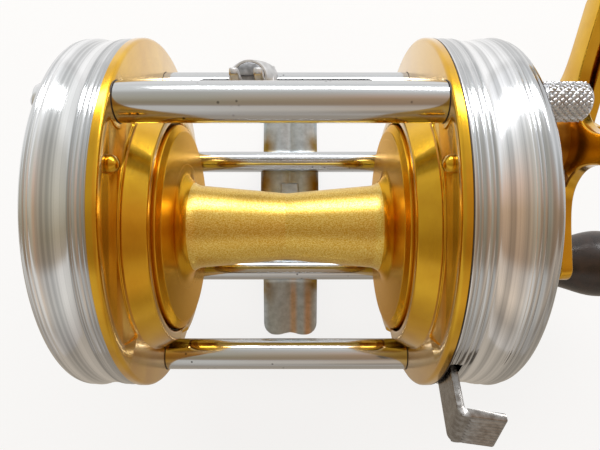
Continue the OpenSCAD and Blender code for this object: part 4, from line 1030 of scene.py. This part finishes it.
def lever_section(y):
    # Bent strip across the lever: distance from the axis and place along the axis, round the whole strip
    end = lever_end(y)
    inside = abs(y) < lever_half - rib_margin
    wave = 0.5 - 0.5 * math.cos(2 * math.pi * rib_count * (y + lever_half - rib_margin) / rib_span)
    rib = end + (rib_h * wave if inside else 0.0)
    back = end - lever_t
    bend_x = lever_x + bend_r
    inner_x = lever_x + lever_t + bend_in_r
    points = [(lever_root, lever_x), (end - bend_r, lever_x)]
    points += [(end - bend_r + bend_r * sind(a), bend_x - bend_r * cosd(a)) for a in (15, 30, 45, 60, 75, 90)]
    points += [(end, bend_x + 0.35), (rib, bend_x + 0.6), (rib, tab_end - 0.45), (end, tab_end - 0.2)]
    points += [(end - 0.12, tab_end), (back + 0.12, tab_end), (back, tab_end - 0.2), (back, inner_x)]
    points += [(back - bend_in_r + bend_in_r * cosd(a), inner_x - bend_in_r * sind(a)) for a in (30, 60, 90)]
    return points + [(lever_root, lever_x + lever_t)]


steps = [-lever_half, -lever_half + 0.04, -lever_half + 0.12]
steps += [-lever_half + rib_margin + rib_span * i / rib_steps for i in range(rib_steps + 1)]
steps += [lever_half - 0.12, lever_half - 0.04, lever_half]
lever_points = []
for n, y in enumerate(steps):
    section = lever_section(y)
    pinch = lever_edges[min(n, len(steps) - 1 - n, 2)]
    for r, x in section:
        if x < lever_x + lever_t / 2:
            x += pinch
        elif r > lever_reach - 4 and x > lever_x + lever_t + 0.5:
            r += pinch if r < lever_end(y) - lever_t / 2 else -pinch
        else:
            x -= pinch
        r += tab_flare * max(0.0, x - lever_x - bend_r)
        lever_points.append((x, spool_axis[0] + r * cosd(lever_a) - y * sind(lever_a),
                             spool_axis[1] + r * sind(lever_a) + y * cosd(lever_a)))
count = len(section)
last = (len(steps) - 1) * count
lever_faces = grid_faces(len(steps), count, False, True)
lever_faces += [tuple(range(count)), tuple(range(last, last + count))]
lever_strip = build("lever_strip", lever_points, lever_faces)
eye_edge = 0.1
lever_eye = lathe("lever_ring", spool_axis, [
    (lever_x, lever_bore), (lever_x, lever_eye_r - eye_edge), (lever_x + eye_edge, lever_eye_r),
    (lever_x + lever_t - eye_edge, lever_eye_r), (lever_x + lever_t, lever_eye_r - eye_edge),
    (lever_x + lever_t, lever_bore)], 96, 32, True)
lever = join("chrome_clutch_lever", 40, lever_strip, lever_eye)
# Steel, worn plating: a brownish grey mirror, rubbed brighter in fine patches
worn_plate = mottled("steel_worn_plated", "#8F8C89", 0.25, 0.66667, 4.0,
                     ((0.32, "#7F7A76"), (0.68, "#A3A2A1")), (0.18, 0.34))
piece(lever, "clutch", "bright_chrome", worn_plate, "clutch_lever")


# Spool tension cap and drive boss: a fluted chromed cap on the cover's neck, and a turned gold sleeve
# round the drive shaft. Both stand on the outer face of the right cover.
drive_axis = polar(spool_axis, 14.4, -9.2)
cap_outer_r = 6.2
cap_bore = 4.64
tension_x = right_face_x + 0.4
tension_end = neck_x + 1.6
cap_roof = neck_x + 0.3
grips = 30
grip_depth = 0.16
boss_outer_r = 6.2
boss_bore = 4.15
boss_groove = 0.15
boss_end = 41.8


def fluted_section(a):
    flute = grip_depth * (0.5 - 0.5 * math.cos(grips * a)) ** 1.5
    return [(tension_x, cap_bore), (tension_x, cap_outer_r - 0.3),
            (tension_x + 0.15, cap_outer_r - 0.12 - flute * 0.5), (tension_x + 0.35, cap_outer_r - flute),
            (tension_end - 0.95, cap_outer_r - flute), (tension_end - 0.72, cap_outer_r - 0.14 - flute * 0.4),
            (tension_end - 0.6, cap_outer_r - 0.45), (tension_end - 0.6, cap_outer_r - 0.72),
            (tension_end - 0.12, cap_outer_r - 0.8), (tension_end, cap_outer_r - 0.95), (tension_end, 2.4),
            (tension_end - 0.2, 2.2), (tension_end - 0.2, 0.0), (cap_roof, 0.0), (cap_roof, cap_bore)]


tension_cap = lathe("chrome_tension_cap", spool_axis, fluted_section, 12 * grips, 30, True)
piece(tension_cap, "tension_knob", "bright_chrome", chrome, "tension_cap")

drive_boss = lathe("gold_drive_boss", drive_axis, [
    (right_face_x, boss_bore), (right_face_x, boss_outer_r), (right_face_x + 0.9, boss_outer_r),
    (right_face_x + 1.0, boss_outer_r - boss_groove), (right_face_x + 1.3, boss_outer_r - boss_groove),
    (right_face_x + 1.4, boss_outer_r), (boss_end - 0.5, boss_outer_r),
    (boss_end - 0.15, boss_outer_r - 0.15), (boss_end, boss_outer_r - 0.5),
    (boss_end, boss_bore)], 128, 28, True)
piece(drive_boss, "frame", "gold_anodised", satin, "drive_boss")


# Star wheel: five arms cut from gold plate with round hollows between them, on a hub on the shaft's thread.
# Turning it presses the drag washers together; the back of its middle is painted brown and darker as shade.
star_x = 45.0
star_t = 1.9
star_r = 23.2
star_arms = 5
star_first = 32.0
star_edge = 0.25
star_bore = 2.63
arm_half = 2.0
hollow_at = 7.0
star_hub_r = 6.0
star_hub_h = 2
shade_r = 9


def around(axis, turn, points):
    c, s = cosd(turn), sind(turn)
    return [(axis[0] + x * c - y * s, axis[1] + x * s + y * c) for x, y in points]


def star_arm():
    # Half width of an arm along its length; it flares into the round hollow that it shares with the next arm
    tip = star_r - arm_half
    swell = hollow_at * math.tan(math.radians(36)) - arm_half
    fade = swell / math.tan(math.radians(54))
    side = []
    for i in range(25):
        d = hollow_at + (tip - hollow_at) * (i / 24) ** 1.6
        side.append((d, arm_half + swell * math.exp((hollow_at - d) / fade)))
    round_end = [(tip + arm_half * cosd(a), arm_half * sind(a)) for a in range(-80, 81, 10)]
    return [(x, -y) for x, y in side[1:]] + round_end + side[::-1]


star_outline = []
for k in range(star_arms):
    star_outline += around(drive_axis, star_first + 360 * k / star_arms, star_arm())
star_plate = slab("star_plate", star_outline, star_x, star_x + star_t, "x", star_edge)
cut(star_plate, slab("bore", arc_points(drive_axis, star_bore, 0, 355, 71), star_x - 4, star_x + 4))
hub_x = star_x - star_hub_h
star_hub = lathe("star_hub", drive_axis, [
    (hub_x, star_bore), (hub_x, star_hub_r - 0.3), (hub_x + 0.1, star_hub_r - 0.1), (hub_x + 0.3, star_hub_r),
    (star_x + 0.05, star_hub_r), (star_x + 0.05, star_bore)], 96, 30, True)
star = join("gold_star_wheel", 30, star_plate, star_hub)
# Gold anodised aluminium with painted shade: the same gold, brown and darker, for the shaded back of the
# star's middle
painted_shade_gold = mottled("gold_anodised_aluminium_painted_shade", "#8A561A", 0.28, 3.8462, 3.0,
                ((0.35, "#7A4713"), (0.65, "#A06C24")))
star.data.materials.append(gold_polished)
star.data.materials.append(painted_shade_gold)
hub_line = Vector((0, drive_axis[0], drive_axis[1])) * mm
# Faces on the back of the star near the hub take the painted shade
for face in star.data.polygons:
    off = face.center - hub_line
    behind = face.center.x < (star_x + 0.3) * mm
    face.material_index = 1 if behind and math.hypot(off.y, off.z) < shade_r * mm else 0
piece(star, "star", "gold_anodised", None, "star_drag")


# Crank handle: a gold plate on the square of the drive shaft, held by a hexagon nut, with a knob at each end.
# The plate swells round the shaft and round the two knob pins; the knobs are moulded and turn on the pins.
handle_x = star_x + star_t + 0.5
handle_t = 1.7
handle_reach = 25.5
handle_a = 32.0
handle_hub = 5.6
handle_end = 3.4
handle_wide, handle_narrow = 4.0, 2.3
handle_blend = 2.2
handle_trim = 0.12
handle_step = 0.43
handle_edge = 0.22
knob_x = handle_x + handle_t + 0.9
knob_l = 17.5
knob_neck = 4.3
knob_r = 6.5
knob_swell = knob_l * 0.6
knob_lead = 0.8


def handle_half(d):
    # Half width of the plate along its length: a taper blended softly with the rounds of hub and end
    widths = [handle_wide + (handle_narrow - handle_wide) * d / handle_reach]
    if d < handle_hub:
        widths.append(math.sqrt(handle_hub ** 2 - d * d))
    if abs(d - handle_reach) < handle_end:
        widths.append(math.sqrt(handle_end ** 2 - (d - handle_reach) ** 2))
    total = sum(math.exp(handle_blend * (w - handle_wide)) for w in widths)
    return math.log(total) / handle_blend + handle_wide - handle_trim


def knob(name, axis):
    profile = [(knob_x, 0.0), (knob_x, knob_neck - 0.35), (knob_x + 0.12, knob_neck - 0.1)]
    profile.append((knob_x + 0.4, knob_neck))
    for i in range(1, 21):
        t = i / 20
        grow = (knob_r - knob_neck) * (1 - math.cos(math.pi * t)) / 2
        profile.append((knob_x + knob_lead + knob_swell * t, knob_neck + grow))
    base = knob_x + knob_lead + knob_swell
    for a in range(8, 89, 8):
        profile.append((base + (knob_l * 0.4 - knob_lead) * sind(a) ** 0.9, knob_r * cosd(a) ** 0.62))
    profile += [(knob_x + knob_l - 0.02, 1.6), (knob_x + knob_l, 0.0)]
    return lathe(name, axis, profile, 128, 30)


side = [(d * handle_step, handle_half(d * handle_step)) for d in range(60)]
side += [(handle_reach + handle_end * cosd(a), handle_end * sind(a)) for a in range(85, -1, -6)]
one_end = side + [(x, -y) for x, y in reversed(side) if y > 0.01]
outline = one_end + [(-x, -y) for x, y in one_end[1:]]
outline = [p for i, p in enumerate(outline) if (Vector(p) - Vector(outline[i - 1])).length > 0.02]
handle = slab("gold_handle_plate", around(drive_axis, handle_a, outline), handle_x, handle_x + handle_t, "x",
              handle_edge)
piece(handle, "crank", "gold_anodised", gold_polished, "handle_plate")

# Phenolic, moulded: a glossy brown-black with faint swirls of the filler
dark = mottled("phenolic_moulded_dark", "#2B1D17", 0.28, 3.8462, 5.0, ((0.35, "#1C1310"), (0.7, "#3A271D")),
               (0.2, 0.38), swirl=1.2, constants={"Metallic": 0.0, "IOR": 1.55})
front_knob, rear_knob = around(drive_axis, handle_a, [(handle_reach, 0), (-handle_reach, 0)])
piece(knob("dark_knob_front", front_knob), "front_knob", "dark_knob", dark, "front_handle_knob")
piece(knob("dark_knob_rear", rear_knob), "rear_knob", "dark_knob", dark, "rear_handle_knob")


# The works inside the covers keep the shapes of the frame; each kind of stock has its own finish.
# Brass gears, bronze bushes, machined steel shafts, die-cast plates, fibre and plastic friction parts.
def stock(name, colour, other, roughness, grain, metallic=1.0):
    # Mottled between two close tones, with dull and bright spots as large as the stock's grain
    return mottled(name, colour, roughness, grain, 3.0, ((0.3, other), (0.7, colour)),
                   (roughness - 0.06, roughness + 0.08), 0.05, constants={"Metallic": metallic})


def dress(material, *nodes):
    for node in nodes:
        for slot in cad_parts[node].material_slots:
            slot.material = material


dress(stock("steel_machined", "#B4B6B9", "#9A9CA0", 0.24, 1.2), "foot_screws", "spool_shaft",
      "spool_cross_pin", "worm_clip", "drive_shaft", "ratchet_wheel", "pressure_washer", "spring_washer",
      "knob_pins", "clutch_cam", "yoke_posts", "yoke_springs", "anti_reverse_pawl", "pawl_post")
dress(stock("brass_machined", "#CDAA58", "#B8923F", 0.22, 1.4), "worm_cog", "guide_pawl", "levelwind_gear",
      "drive_gear", "yoke", "pinion", "tension_shim", "brake_ring")
dress(stock("bronze_sintered", "#A77B45", "#8E6534", 0.4, 0.8), "left_spool_bush", "right_spool_bush",
      "worm_bushes", "drive_inner_bush", "drive_outer_bush")
dress(stock("zinc_die_cast", "#97999C", "#84868A", 0.42, 0.9), "left_inner_plate", "right_inner_plate")
dress(stock("fibre_pressed", "#6B4A32", "#553924", 0.75, 0.6, 0.0), "friction_washer")
dress(stock("acetal_moulded", "#E4E1D8", "#D2CEC2", 0.45, 1.6, 0.0), "brake_disc", "brake_block_upper",
      "brake_block_lower")
dress(gold_polished, "handle_nut")
